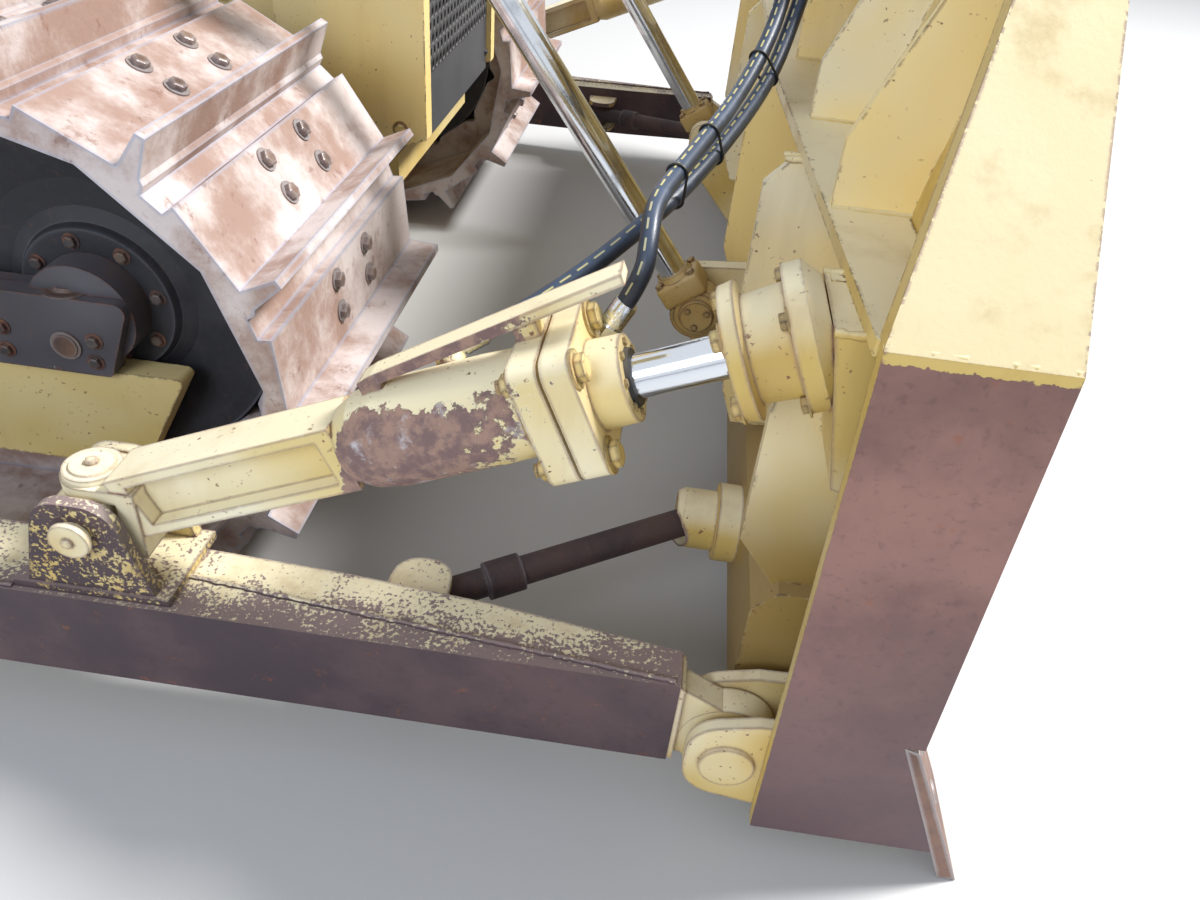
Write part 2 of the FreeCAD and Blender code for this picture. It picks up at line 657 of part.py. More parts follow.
def cab_corners(shrink):
    return [
        (CAB_REAR + shrink, -CAB_HALF + shrink, 60.0), (CAB_BEND_X - shrink * 0.4, -CAB_HALF + shrink),
        (CAB_FRONT - shrink, -CAB_NOSE_HALF + shrink * 0.6),
        (CAB_FRONT - shrink, CAB_NOSE_HALF - shrink * 0.6),
        (CAB_BEND_X - shrink * 0.4, CAB_HALF - shrink), (CAB_REAR + shrink, CAB_HALF - shrink, 60.0),
    ]


def cab_shell():
    shell = slab("z", cab_corners(0.0), CAB_FLOOR_TOP, CAB_ROOF_LOW)
    shell = shell.cut(slab("z", cab_corners(CAB_WALL), CAB_FLOOR_TOP - 1.0, CAB_ROOF_LOW + 1.0))
    cuts = []
    for side in (-1.0, 1.0):
        y0 = side * (CAB_HALF - 100.0)
        y1 = side * (CAB_HALF + 20.0)
        cuts.append(box(DOOR_REAR, DOOR_FRONT, min(y0, y1), max(y0, y1), DOOR_LOW, DOOR_TOP))
        cuts.append(box(CAB_REAR + 110.0, DOOR_REAR - 80.0, min(y0, y1), max(y0, y1), SIDE_WINDOW_LOW,
                        DOOR_TOP))
    cuts.append(box(CAB_REAR - 10.0, CAB_REAR + 80.0, -CAB_HALF + 160.0, CAB_HALF - 160.0, REAR_WINDOW_LOW,
                    DOOR_TOP))
    nose = CAB_NOSE_HALF - 70.0
    cuts.append(box(CAB_FRONT - 80.0, CAB_FRONT + 10.0, -nose, nose, WINDOW_LOW, DOOR_TOP))
    shell = shell.cut(cuts)
    right_hinges = hinge_half(False)
    hinges = right_hinges + [other_side(h) for h in right_hinges]
    return joined([shell.cut([corner_window(s, 1) for s in (-1, 1)])] + hinges)


def corner_window(side, out):
    """Opening (out=1) or pane (out=0) in the slanting corner beside the windscreen."""
    a = V(CAB_BEND_X, side * CAB_HALF, 0)
    b = V(CAB_FRONT, side * CAB_NOSE_HALF, 0)
    along = (b - a).normalize()
    depth = V(-along.y, along.x, 0)
    if depth.y * side > 0:
        depth = depth * -1.0
    length = (b - a).Length
    inset = 60.0
    first = a + along * inset
    last = a + along * (length - inset)
    near = -20.0 if out else PANE_BACK
    far = CAB_WALL + 40.0 if out else PANE_BACK + PANE_THICK
    corners = [first + depth * near, last + depth * near, last + depth * far, first + depth * far]
    return slab("z", [(c.x, c.y) for c in corners], 1320.0, DOOR_TOP)


def cab_floor():
    outline = [(CAB_REAR - 20.0, -CAB_HALF - 20.0, 40.0), (CAB_BEND_X, -CAB_HALF - 20.0),
               (CAB_FRONT, -CAB_NOSE_HALF),
               (CAB_FRONT, CAB_NOSE_HALF), (CAB_BEND_X, CAB_HALF + 20.0),
               (CAB_REAR - 20.0, CAB_HALF + 20.0, 40.0)]
    return slab("z", outline, DECK_Z, CAB_FLOOR_TOP)


def cab_roof():
    outline = [(CAB_REAR - 60.0, -CAB_HALF - 40.0, 90.0), (CAB_BEND_X + 20.0, -CAB_HALF - 40.0, 60.0),
               (CAB_FRONT + 110.0, -CAB_NOSE_HALF - 70.0, 80.0),
               (CAB_FRONT + 110.0, CAB_NOSE_HALF + 70.0, 80.0),
               (CAB_BEND_X + 20.0, CAB_HALF + 40.0, 60.0), (CAB_REAR - 60.0, CAB_HALF + 40.0, 90.0)]
    edge = CAB_ROOF_LOW + ROOF_EDGE
    inner = [(CAB_REAR + 60.0, -CAB_HALF + 80.0, 60.0), (CAB_BEND_X - 20.0, -CAB_HALF + 80.0, 60.0),
             (CAB_FRONT, -CAB_NOSE_HALF + 30.0, 60.0), (CAB_FRONT, CAB_NOSE_HALF - 30.0, 60.0),
             (CAB_BEND_X - 20.0, CAB_HALF - 80.0, 60.0), (CAB_REAR + 60.0, CAB_HALF - 80.0, 60.0)]
    return joined([slab("z", outline, CAB_ROOF_LOW, edge), slab("z", inner, edge, edge + 40.0)])


def cab_glass():
    """Panes of the windscreen, rear window, side windows and slanting corners."""
    near = PANE_BACK
    far = PANE_BACK + PANE_THICK
    nose = CAB_NOSE_HALF - 70.0
    back = CAB_HALF - 160.0
    panes = [
        box(CAB_FRONT - far, CAB_FRONT - near, -nose, nose, WINDOW_LOW, DOOR_TOP),
        box(CAB_REAR + near, CAB_REAR + far, -back, back, REAR_WINDOW_LOW, DOOR_TOP),
    ]
    for side in (-1.0, 1.0):
        y0 = side * (CAB_HALF - far)
        y1 = side * (CAB_HALF - near)
        panes.append(box(CAB_REAR + 110.0, DOOR_REAR - 80.0, min(y0, y1), max(y0, y1), SIDE_WINDOW_LOW,
                         DOOR_TOP))
        panes.append(corner_window(side, 0))
    return panes


def door_window(near, far):
    """Outline of the door's window, between two distances behind the door's outer face."""
    outline = [(DOOR_REAR + 90.0, DOOR_LOW + 405.0, 50.0), (DOOR_FRONT - 80.0, DOOR_LOW + 205.0, 50.0),
               (DOOR_FRONT - 80.0, DOOR_TOP - 80.0, 50.0), (DOOR_REAR + 90.0, DOOR_TOP - 80.0, 50.0)]
    return slab("y", outline, -CAB_HALF + near, -CAB_HALF + far)


def cab_door():
    """Right door frame; it hangs on its rear edge."""
    gap = DOOR_GAP
    frame = box(DOOR_REAR + gap, DOOR_FRONT - gap, -CAB_HALF, -CAB_HALF + CAB_WALL, DOOR_LOW + gap,
                DOOR_TOP - gap)
    return frame.cut(door_window(-10.0, CAB_WALL + 10.0))


def hinge_half(moving):
    """Knuckles and leaves of the right door's hinges: the door's half stands on the cab's half."""
    pieces = []
    x, y = HINGE_X, HINGE_Y
    for z in HINGE_HEIGHTS:
        low, high = (z + FIT, z + 45.0) if moving else (z - 45.0, z)
        pieces.append(rod(V(x, y, low), V(x, y, high), 12.0))
        near, far = (x, x + 60.0) if moving else (x - 60.0, x)
        pieces.append(box(near, far, y, y + 12.0, low, high))
    return pieces


def door_glass():
    return door_window(PANE_BACK, PANE_BACK + PANE_THICK)


def door_handle():
    """Pull bar on the right door's outside."""
    x = DOOR_FRONT - 46.0
    y = -CAB_HALF
    return joined([
        box(x - 12.0, x + 12.0, y - 40.0, y, 1500.0, 1530.0),
        box(x - 12.0, x + 12.0, y - 40.0, y, 1700.0, 1730.0),
        box(x - 12.0, x + 12.0, y - 52.0, y - 34.0, 1500.0, 1730.0),
    ])


def fender():
    """Right platform over the track."""
    rear = CAB_REAR - 300.0
    outline = [(rear, FENDER_OUTER, 40.0), (CAB_BEND_X - 50.0, FENDER_OUTER, 40.0),
               (CAB_FRONT - 180.0, FENDER_OUTER + 150.0),
               (CAB_FRONT - 180.0, -CAB_HALF - 20.0), (rear, -CAB_HALF - 20.0)]
    return slab("z", outline, FENDER_Z, FENDER_Z + FENDER_THICK)


def fender_box():
    """Right tank on the platform, behind the door."""
    low = FENDER_Z + FENDER_THICK
    outline = [(BOX_REAR, low), (BOX_FRONT, low), (BOX_FRONT, BOX_TOP - 100.0, 40.0),
               (BOX_FRONT - 110.0, BOX_TOP, 60.0),
               (BOX_REAR, BOX_TOP, 60.0)]
    return slab("y", outline, BOX_OUTER, -CAB_HALF - 40.0)


def handrail():
    """Right grab rail of bent tube on the tank beside the cab."""
    y = BOX_OUTER + 60.0
    foot = BOX_TOP
    head = BOX_TOP + 230.0
    rear = BOX_REAR + 90.0
    front = BOX_FRONT - 180.0
    corners = [V(rear, y, foot), V(rear, y, head), V(front, y, head), V(front, y, foot)]
    tube = bent_tube(corners, RAIL_RADIUS)
    feet = [rod(V(x, y, foot), V(x, y, foot + 10.0), 38.0) for x in (rear, front)]
    return joined([tube] + feet)


def fuel_tank():
    rear = HULL_REAR + 50.0
    low = DECK_Z + SEAT
    outline = [(rear + 40.0, low, 60.0), (TANK_FRONT, low), (TANK_FRONT, TANK_TOP, 80.0),
               (rear + 140.0, TANK_TOP, 120.0),
               (rear, TANK_TOP - 300.0, 80.0)]
    half = CAB_HALF - 160.0
    return slab("y", outline, -half, half)


def counterweight():
    front = HULL_REAR - SEAT
    rear = HULL_REAR - 310.0
    outline = [(front, 540.0), (front, DECK_Z - 50.0), (HULL_REAR - 150.0, DECK_Z - 50.0, 40.0),
               (rear, 900.0, 60.0),
               (rear, 620.0, 60.0), (HULL_REAR - 190.0, 540.0, 60.0)]
    return slab("y", outline, -HULL_HALF + 10.0, HULL_HALF - 10.0)


def drawbar():
    """Towing bar at the rear, with its pin's hole."""
    front = HULL_REAR + 50.0
    outline = [(-HALF_LENGTH, -DRAWBAR_HALF, 60.0), (-HALF_LENGTH, DRAWBAR_HALF, 60.0),
               (front, DRAWBAR_HALF),
               (front, -DRAWBAR_HALF)]
    bar = slab("z", outline, DRAWBAR_LOW, DRAWBAR_TOP)
    hole = V(65.0 - HALF_LENGTH, 0, DRAWBAR_LOW - 20.0)
    return bar.cut(rod(hole, hole + V(0, 0, DRAWBAR_TOP - DRAWBAR_LOW + 40.0), DRAWBAR_HOLE))


def engine():
    return box(250.0, 1000.0, -260.0, 260.0, ENGINE_BED + SEAT, 1560.0)


def radiator():
    half = GUARD_HALF - GUARD_WALL - 14.0
    return box(GUARD_REAR + 100.0, GUARD_REAR + 230.0, -half, half, GUARD_LOW + 30.0 + SEAT,
               GUARD_TOP - 100.0)


def stack():
    """Exhaust pipe with a cut-back mouth."""
    foot = V(420.0, -170.0, HOOD_TOP)
    pipe = turned([(0.0, 95.0), (30.0, 95.0), (40.0, 62.0), (820.0, 62.0)], foot, V(0, 0, 1))
    hole = rod(foot + V(0, 0, 500.0), foot + V(0, 0, 900.0), 54.0)
    return pipe.cut(hole)


def precleaner():
    foot = V(700.0, 150.0, HOOD_TOP)
    profile = [(0.0, 80.0), (250.0, 80.0), (270.0, 150.0), (420.0, 150.0), (470.0, 90.0)]
    return turned(profile, foot, V(0, 0, 1))


def lift_yoke(side):
    """Fork on the guard's side that holds the lift cylinder by its trunnions."""
    x, z = YOKE_X, YOKE_Z
    mid = side * LIFT_Y
    ear = [(x - 60.0, z + 70.0, 50.0), (x + 62.0, z + 62.0, 55.0), (x + 62.0, z - 60.0, 55.0),
           (x - 90.0, z - 190.0, 30.0),
           (x - 190.0, z - 110.0, 30.0)]
    bridge = [(x - 60.0, z - 165.0), (x - 90.0, z - 190.0, 30.0), (x - 190.0, z - 110.0, 30.0),
              (x - 165.0, z - 85.0)]
    base = [(x + 50.0, z + 50.0, 30.0), (x + 50.0, z - 60.0, 30.0), (x - 90.0, z - 180.0, 30.0),
            (x - 180.0, z - 100.0, 30.0)]
    pieces = [slab("y", ear, mid - 100.0, mid - 70.0), slab("y", ear, mid + 70.0, mid + 100.0)]
    pieces.append(slab("y", bridge, mid - 100.0, mid + 100.0))
    ends = (side * GUARD_HALF, mid - side * 80.0)
    pieces.append(slab("y", base, min(ends), max(ends)))
    holes = [rod(V(x, mid + a, z), V(x, mid + b, z), LIFT_PIN_RADIUS + FIT) for a, b in ((-101.0, -60.0),
            (60.0, 101.0))]
    return joined(pieces).cut(holes)


# Lift cylinders

def lift_way():
    return V(LIFT_PIN_X - YOKE_X, 0, LIFT_PIN_Z - YOKE_Z).normalize()


def lift_barrel(side):
    way = lift_way()
    pivot = V(YOKE_X, side * LIFT_Y, YOKE_Z)
    r = LIFT_BARREL_RADIUS
    profile = [
        (-LIFT_BARREL_BACK - 20.0, r - 18.0), (-LIFT_BARREL_BACK, r), (-50.0, r), (-48.0, r + 6.0),
        (48.0, r + 6.0),
        (50.0, r), (LIFT_BARREL_FRONT - 60.0, r), (LIFT_BARREL_FRONT - 58.0, r + 8.0),
        (LIFT_BARREL_FRONT - 6.0, r + 8.0),
        (LIFT_BARREL_FRONT, r - 4.0),
    ]
    body = turned(profile, pivot, way)
    pin = rod(pivot - V(0, 96.0, 0), pivot + V(0, 96.0, 0), LIFT_PIN_RADIUS)
    mouth = pivot + way * (LIFT_BARREL_FRONT + 10.0)
    hole = rod(pivot - way * (LIFT_BARREL_BACK - 30.0), mouth, LIFT_ROD_RADIUS + FIT)
    return joined([body, pin]).cut(hole)


def lift_rod(side):
    way = lift_way()
    eye = V(LIFT_PIN_X, side * LIFT_Y, LIFT_PIN_Z)
    return rod(eye - way * LIFT_ROD_LENGTH, eye - way * 100.0, LIFT_ROD_RADIUS)


# Blade

def sheet_arc():
    """Centre and radius of the hollow above the heel: an arc through heel, middle and head."""
    first = V(HEEL_X, 0, HEEL_Z)
    middle = V(HOLLOW_X, 0, (HEEL_Z + BLADE_TOP) / 2.0)
    last = V(HEAD_X, 0, BLADE_TOP)
    curve = Part.Arc(first, middle, last).toShape().Curve
    return curve.Center, curve.Radius


ARC_CENTRE, ARC_RADIUS = sheet_arc()


def sheet_front(z):
    """Front face of the blade sheet at a height: straight below the heel, an arc above it."""
    if z <= HEEL_Z:
        return HEEL_X + (FOOT_X - HEEL_X) * (HEEL_Z - z) / (HEEL_Z - BLADE_LOW)
    return ARC_CENTRE.x - math.sqrt(ARC_RADIUS * ARC_RADIUS - (z - ARC_CENTRE.z) ** 2)


def sheet_line(y, back, low, top):
    """Edges along the sheet, from low to top, set back from its front face."""
    edges = []
    start = low
    if low < HEEL_Z:
        start = min(HEEL_Z, top)
        foot = V(sheet_front(low) - back, y, low)
        edges.append(Part.LineSegment(foot, V(sheet_front(start) - back, y, start)).toShape())
    if top > HEEL_Z:
        middle = (start + top) / 2.0
        points = [V(sheet_front(z) - back, y, z) for z in (start, middle, top)]
        edges.append(Part.Arc(*points).toShape())
    return edges


def curved_sheet(y0, y1, thick):
    front = sheet_line(y0, 0.0, BLADE_LOW, BLADE_TOP)
    back = sheet_line(y0, thick, BLADE_LOW, BLADE_TOP)
    ends = []
    for z in (BLADE_LOW, BLADE_TOP):
        ends.append(Part.LineSegment(V(sheet_front(z), y0, z), V(sheet_front(z) - thick, y0, z)).toShape())
    wire = Part.Wire(Part.__sortEdges__(front + back + ends))
    return Part.Face(wire).extrude(V(0, y1 - y0, 0))


def blade_corner_cut(side, inset):
    """Everything outside the blade's slanting upper corner."""
    far = side * (HALF_WIDTH + 200.0)
    over = BLADE_TOP + 10.0
    corners = [(side * (HALF_WIDTH - inset), FOLD_Z), (side * (CORNER_Y - inset), over), (far, over),
               (far, FOLD_Z)]
    return slab("x", corners, BLADE_REAR - 300.0, BLADE_FRONT + 200.0)


def blade():
    """Curved sheet with its end plates, slanting corner plates and top plate."""
    sheet = curved_sheet(-HALF_WIDTH + 5.0, HALF_WIDTH - 5.0, SHEET_THICK)
    pieces = [sheet.cut([blade_corner_cut(side, 8.0) for side in (-1, 1)])]
    end = [(BLADE_REAR + 22.0, BLADE_LOW), (FOOT_X, BLADE_LOW), (HEEL_X, HEEL_Z), (BLADE_FRONT, HEEL_Z),
           (BLADE_FRONT - 22.0, FOLD_Z), (BLADE_REAR, FOLD_Z)]
    for side in (-1, 1):
        y0, y1 = side * (HALF_WIDTH - END_THICK), side * HALF_WIDTH
        pieces.append(slab("y", end, min(y0, y1), max(y0, y1)))
        pieces.append(corner_plate(side))
    front = BLADE_FRONT - 24.0
    rear = sheet_front(BLADE_TOP) - TOP_DEPTH
    pieces.append(box(rear, front, -CORNER_Y, CORNER_Y, BLADE_TOP - TOP_PLATE, BLADE_TOP))
    return joined(pieces)


def corner_plate(side):
    """Slanting plate over the blade's upper corner."""
    depth = side * END_THICK * 1.3
    foot_y = side * HALF_WIDTH
    head_y = side * CORNER_Y
    section = [(foot_y, FOLD_Z), (head_y, BLADE_TOP), (head_y - depth, BLADE_TOP), (foot_y - depth, FOLD_Z)]
    body = slab("x", section, BLADE_REAR, BLADE_FRONT)
    wide = HALF_WIDTH + 65.0
    low, over = FOLD_Z - 1.0, BLADE_TOP + 1.0
    rear = [(BLADE_REAR - 1.0, low), (BLADE_REAR + 110.0, over), (BLADE_REAR - 1.0, over)]
    front = [(BLADE_FRONT - 22.0, low), (BLADE_FRONT + 1.0, low), (BLADE_FRONT + 1.0, over),
             (BLADE_FRONT - 24.0, over)]
    return body.cut([slab("y", rear, -wide, wide), slab("y", front, -wide, wide)])


def behind(y0, y1, corners):
    """Plate behind the sheet: (x, z) rear corners from low to high, closed along the sheet's back."""
    low_z = corners[0][1]
    top_z = corners[-1][1]
    edges = sheet_line(y0, SHEET_THICK, low_z, top_z)
    start = V(sheet_front(low_z) - SHEET_THICK, y0, low_z)
    end = V(sheet_front(top_z) - SHEET_THICK, y0, top_z)
    path = [end] + [V(x, y0, z) for x, z in reversed(corners)] + [start]
    for a, b in zip(path, path[1:]):
        if (a - b).Length > 1e-6:
            edges.append(Part.LineSegment(a, b).toShape())
    return Part.Face(Part.Wire(Part.__sortEdges__(edges))).extrude(V(0, y1 - y0, 0))


def blade_beam():
    """Lower box beam behind the blade sheet."""
    half = HALF_WIDTH - 180.0
    rear = [(BEAM_REAR + 40.0, BEAM_LOW), (BEAM_REAR, BEAM_LOW + 40.0), (BEAM_REAR, BEAM_TOP - 40.0),
            (BEAM_REAR + 40.0, BEAM_TOP)]
    return behind(-half, half, rear)


def blade_shelf():
    """Shelf at the fold, wider at the middle."""
    half = HALF_WIDTH - END_THICK - 2.0
    rear = BLADE_REAR - 4.0
    front = BLADE_FRONT - 150.0
    waist = LIFT_Y - 62.0
    outline = [(rear, -half), (front, -half), (front, half), (rear, half), (SHELF_REAR, waist),
               (SHELF_REAR, -waist)]
    return slab("z", outline, FOLD_Z - SHELF_THICK, FOLD_Z)


def blade_back():
    """Beam and shelf, joined by a gusset near each end."""
    pieces = [blade_beam(), blade_shelf()]
    rear = [(BEAM_REAR + 30.0, BEAM_TOP - 10.0), (SHELF_REAR, BEAM_TOP + 80.0),
            (SHELF_REAR, FOLD_Z - 240.0),
            (BEAM_REAR, FOLD_Z - SHELF_THICK + 2.0)]
    for side in (-1, 1):
        y0, y1 = side * (HALF_WIDTH - 235.0), side * (HALF_WIDTH - 211.0)
        pieces.append(behind(min(y0, y1), max(y0, y1), rear))
    whole = joined(pieces).cut(front_space())
    return whole.cut([strut_block(-1.0), strut_block(1.0)])


def blade_ribs():
    """Upright ribs between beam and shelf, and between shelf and top plate."""
    low = [(SHELF_REAR, BEAM_TOP - 10.0), (BEAM_REAR - 65.0, BEAM_TOP + 60.0),
           (BEAM_REAR - 65.0, FOLD_Z - 70.0),
           (SHELF_REAR + 15.0, FOLD_Z - SHELF_THICK)]
    high = [(RIB_REAR, FOLD_Z), (RIB_REAR, RIB_BEND_Z), (RIB_HEAD, BLADE_TOP - TOP_PLATE)]
    ribs = []
    for y in sorted({-y for y in LOW_RIBS} | set(LOW_RIBS)):
        ribs.append(behind(y - 11.0, y + 11.0, low).cut(blade_beam()))
    for y in sorted({-y for y in HIGH_RIBS} | set(HIGH_RIBS)):
        ribs.append(behind(y - 9.0, y + 9.0, high))
    return ribs


def hose_cover():
    """Cover behind the upper ribs, open below and outwards, that the tilt hoses run into."""
    top = BLADE_TOP - TOP_PLATE
    inner = -HIGH_RIBS[1]
    outer = 110.0 - HIGH_RIBS[2]
    front = sheet_front(BLADE_TOP) - TOP_DEPTH
    low = FOLD_Z + 230.0
    joint = RIB_REAR + (RIB_HEAD - RIB_REAR) * 50.0 / (top - RIB_BEND_Z)
    side = [(COVER_REAR, low), (joint, RIB_BEND_Z + 50.0), (RIB_HEAD, top), (COVER_REAR, top)]
    return joined([
        slab("y", side, inner - 9.0, inner - 9.0 + COVER_THICK),
        box(COVER_REAR, COVER_REAR + COVER_THICK, outer, inner - 9.0 + COVER_THICK, low, top),
        box(COVER_REAR, front, outer, inner - 9.0 + COVER_THICK, top, top + COVER_THICK),
    ])


def arm_ears(side):
    """Two ears on the blade's back and the pin for the push arm's eye."""
    outline = [(FOOT_X, EYE_Z + 120.0), (BLADE_REAR, EYE_Z + 105.0), (EYE_X - 70.0, EYE_Z + 74.0, 66.0),
               (EYE_X - 70.0, EYE_Z - 74.0, 66.0), (BLADE_REAR + 20.0, BLADE_LOW + 25.0),
               (FOOT_X, BLADE_LOW + 25.0)]
    pieces = []
    inner = (EYE_Y - EYE_HALF - EYE_SIDE_GAP - 24.0, EYE_Y - EYE_HALF - EYE_SIDE_GAP)
    outer = (EYE_Y + EYE_HALF + 14.0, EYE_Y + EYE_HALF + 14.0 + 22.0)
    for near, far in (inner, outer):
        y0, y1 = side * near, side * far
        pieces.append(slab("y", outline, min(y0, y1), max(y0, y1)))
    ends = (side * (inner[0] - 12.0), side * (outer[1] + 8.0))
    pieces.append(rod(V(EYE_X, min(ends), EYE_Z), V(EYE_X, max(ends), EYE_Z), ARM_PIN_RADIUS))
    pieces.append(rod(V(EYE_X, side * outer[1], EYE_Z), V(EYE_X, side * (outer[1] + 8.0), EYE_Z), 46.0))
    return joined(pieces).cut(front_space())


def foot_line(z):
    """Place along X of the sheet's straight foot, carried on down to the ground."""
    return HEEL_X + (FOOT_X - HEEL_X) * (HEEL_Z - z) / (HEEL_Z - BLADE_LOW)


def cutting_edge():
    """Bolted edge plates along the blade's foot."""
    head, tip, thick = 250.0, 4.0, 26.0
    section = [(foot_line(head) + SEAT, head), (foot_line(head) + thick, head - 8.0),
               (foot_line(tip) + thick, tip),
               (foot_line(tip) + SEAT, tip)]
    return slab("y", section, -BIT_START, BIT_START)


def end_bits():
    """Corner bits, thicker than the edge, that reach furthest forward."""
    pieces = []
    head, thick = HEEL_Z - 2.0, 26.0
    section = [(foot_line(head) + SEAT, head), (foot_line(head) + thick, head - 8.0), (HALF_LENGTH, 0.0),
               (foot_line(0.0) + SEAT, 0.0)]
    for y0, y1 in ((-HALF_WIDTH, -BIT_START - SEAT), (BIT_START + SEAT, HALF_WIDTH)):
        pieces.append(slab("y", section, y0, y1))
    return pieces


def strut_base(side):
    """Block on the blade's back behind the brace's cap."""
    rear = BLADE_REAR - 42.0
    section = [(rear, FOLD_Z - SHELF_THICK), (rear + 48.0, 747.0), (HEEL_X - 25.0, 700.0),
               (HEEL_X - 25.0, FOLD_Z - 15.0)]
    return slab("y", section, side * STRUT_Y - 85.0, side * STRUT_Y + 85.0).cut(front_space())


def strut_block(side):
    """Bracket on the blade's back with the cap that holds the brace's ball."""
    way = strut_way()
    ball = V(BALL_X, side * STRUT_Y, BALL_Z)
    outer = BALL_RADIUS + BALL_ROOM + 14.0
    profile = [(-52.0, outer + 22.0), (-30.0, outer + 26.0), (-26.0, outer + 4.0), (30.0, outer + 8.0),
               (32.0, outer + 30.0), (58.0, outer + 30.0), (80.0, outer + 4.0)]
    cap = turned(profile, ball, way)
    hollow = Part.makeSphere(BALL_RADIUS + BALL_ROOM, ball)
    mouth = rod(ball - way * 80.0, ball, 52.0)
    return joined([strut_base(side), cap]).cut([hollow, mouth])


def front_space():
    """Space in front of the blade sheet's back, used to trim brackets."""
    y0 = -HALF_WIDTH - 165.0
    far = HALF_LENGTH + 175.0
    edges = sheet_line(y0, SHEET_THICK, BLADE_LOW, BLADE_TOP)
    head = V(HEAD_X - SHEET_THICK, y0, BLADE_TOP)
    foot = V(FOOT_X - SHEET_THICK, y0, BLADE_LOW)
    path = [head, V(far, y0, BLADE_TOP), V(far, y0, BLADE_LOW), foot]
    for a, b in zip(path, path[1:]):
        edges.append(Part.LineSegment(a, b).toShape())
    return Part.Face(Part.Wire(Part.__sortEdges__(edges))).extrude(V(0, -2.0 * y0, 0))


def lift_lugs():
    """Bosses on the blade's back beside the lift rods' ends."""
    pieces = []
    for side in (-1, 1):
        y0, y1 = side * (LIFT_Y - ROD_END_HALF - LUG_GAP - 40.0), side * (LIFT_Y - ROD_END_HALF - LUG_GAP)
        lug = [(BEAM_REAR, LIFT_PIN_Z + 80.0), (LIFT_PIN_X - 58.0, LIFT_PIN_Z + 62.0, 50.0),
               (LIFT_PIN_X - 58.0, LIFT_PIN_Z - 62.0, 50.0), (BEAM_REAR, 200.0)]
        pieces.append(slab("y", lug, min(y0, y1), max(y0, y1)))
    return pieces


# Push arms and braces

def push_arm(side):
    """Box arm with its trunnion eye, the brace's ears and the tie's shelves."""
    rear = TRUNNION_X - 140.0
    high = TRUNNION_Z + 140.0
    side_view = [(rear, high, 139.0), (TRUNNION_X + 160.0, high, 90.0), (TRUNNION_X + 330.0, ARM_TOP),
                 (ARM_FRONT, ARM_TOP),
                 (ARM_FRONT, ARM_LOW), (rear, ARM_LOW + 10.0, 139.0)]
    beam = slab("y", side_view, -ARM_OUTER, -ARM_INNER)
    start = ARM_FRONT - 880.0
    front = ARM_FRONT + 1.0
    taper = [(start, -ARM_INNER), (start + 300.0, -ARM_INNER - 13.0), (start + 540.0, -ARM_INNER - 33.0),
             (front, 37.0 - EYE_Y),
             (front, -ARM_INNER + 26.0), (start, -ARM_INNER + 26.0)]
    beam = beam.cut(slab("z", taper, ARM_LOW - 10.0, ARM_TOP + 10.0))
    eye = rod(V(TRUNNION_X, -ARM_OUTER - 1.0, TRUNNION_Z), V(TRUNNION_X, -ARM_INNER + 1.0, TRUNNION_Z),
              RING_RADIUS + FIT)
    beam = beam.cut(eye)
    ear = [(FORK_X - 110.0, ARM_TOP), (FORK_X + 110.0, ARM_TOP), (FORK_X + 58.0, FORK_Z + 58.0, 55.0),
           (FORK_X - 58.0, FORK_Z + 58.0, 55.0)]
    for near, far in ((-84.0, -62.0), (62.0, 84.0)):
        beam = beam.fuse(slab("y", ear, near - STRUT_Y, far - STRUT_Y))
    beam = beam.fuse(tie_bracket())
    pad = box(FORK_X - 130.0, FORK_X + 130.0, -STRUT_Y - 90.0, 30.0 - ARM_INNER, ARM_TOP - 1.0,
              ARM_TOP + 14.0)
    pin_hole = rod(V(FORK_X, -STRUT_Y - 90.0, FORK_Z), V(FORK_X, 90.0 - STRUT_Y, FORK_Z), 26.0 + FIT)
    beam = beam.fuse(pad).cut(pin_hole).removeSplitter()
    return beam if side < 0 else other_side(beam)


def arm_tip():
    """Cast front end of the right push arm, with the eye for the blade's pin."""
    outline = [(ARM_FRONT, ARM_TOP - 4.0), (ARM_FRONT + 45.0, ARM_TOP - 40.0),
               (EYE_X + 30.0, EYE_Z + 76.0, 20.0),
               (EYE_X + 30.0, EYE_Z - 76.0, 20.0), (ARM_FRONT, ARM_LOW + 6.0)]
    root = slab("y", outline, -EYE_Y - 36.0, 36.0 - EYE_Y)
    root = root.cut(box(EYE_X - 86.0, EYE_X + 300.0, -EYE_Y - 100.0, 100.0 - EYE_Y, 0.0, EYE_Z + 310.0))
    hub = ARM_PIN_RADIUS + ARM_PIN_ROOM + 4.0
    profile = [(-EYE_HALF, hub), (5.0 - EYE_HALF, EYE_RADIUS), (EYE_HALF - 5.0, EYE_RADIUS),
               (EYE_HALF, hub)]
    eye = turned(profile, V(EYE_X, -EYE_Y, EYE_Z), V(0, 1, 0))
    web = [(ARM_FRONT, ARM_TOP - 18.0), (EYE_X, EYE_Z + 70.0), (EYE_X, EYE_Z - 60.0),
           (ARM_FRONT, ARM_LOW + 14.0)]
    neck = slab("y", web, 6.0 - EYE_Y - EYE_HALF, EYE_HALF - 6.0 - EYE_Y)
    hole = rod(V(EYE_X, -EYE_Y - 60.0, EYE_Z), V(EYE_X, 60.0 - EYE_Y, EYE_Z), ARM_PIN_RADIUS + ARM_PIN_ROOM)
    return joined([root, neck, eye]).cut(hole)


def arm_rings():
    """Bearing rings between the trunnions' journals and the arms' eyes."""
    profile = [(2.0, RING_RADIUS), (ARM_OUTER - ARM_INNER - 2.0, RING_RADIUS)]
    rings = []
    for side in (-1, 1):
        start = V(TRUNNION_X, side * ARM_INNER, TRUNNION_Z)
        rings.append(turned(profile, start, V(0, side, 0), bore=JOURNAL_RADIUS + FIT))
    return rings


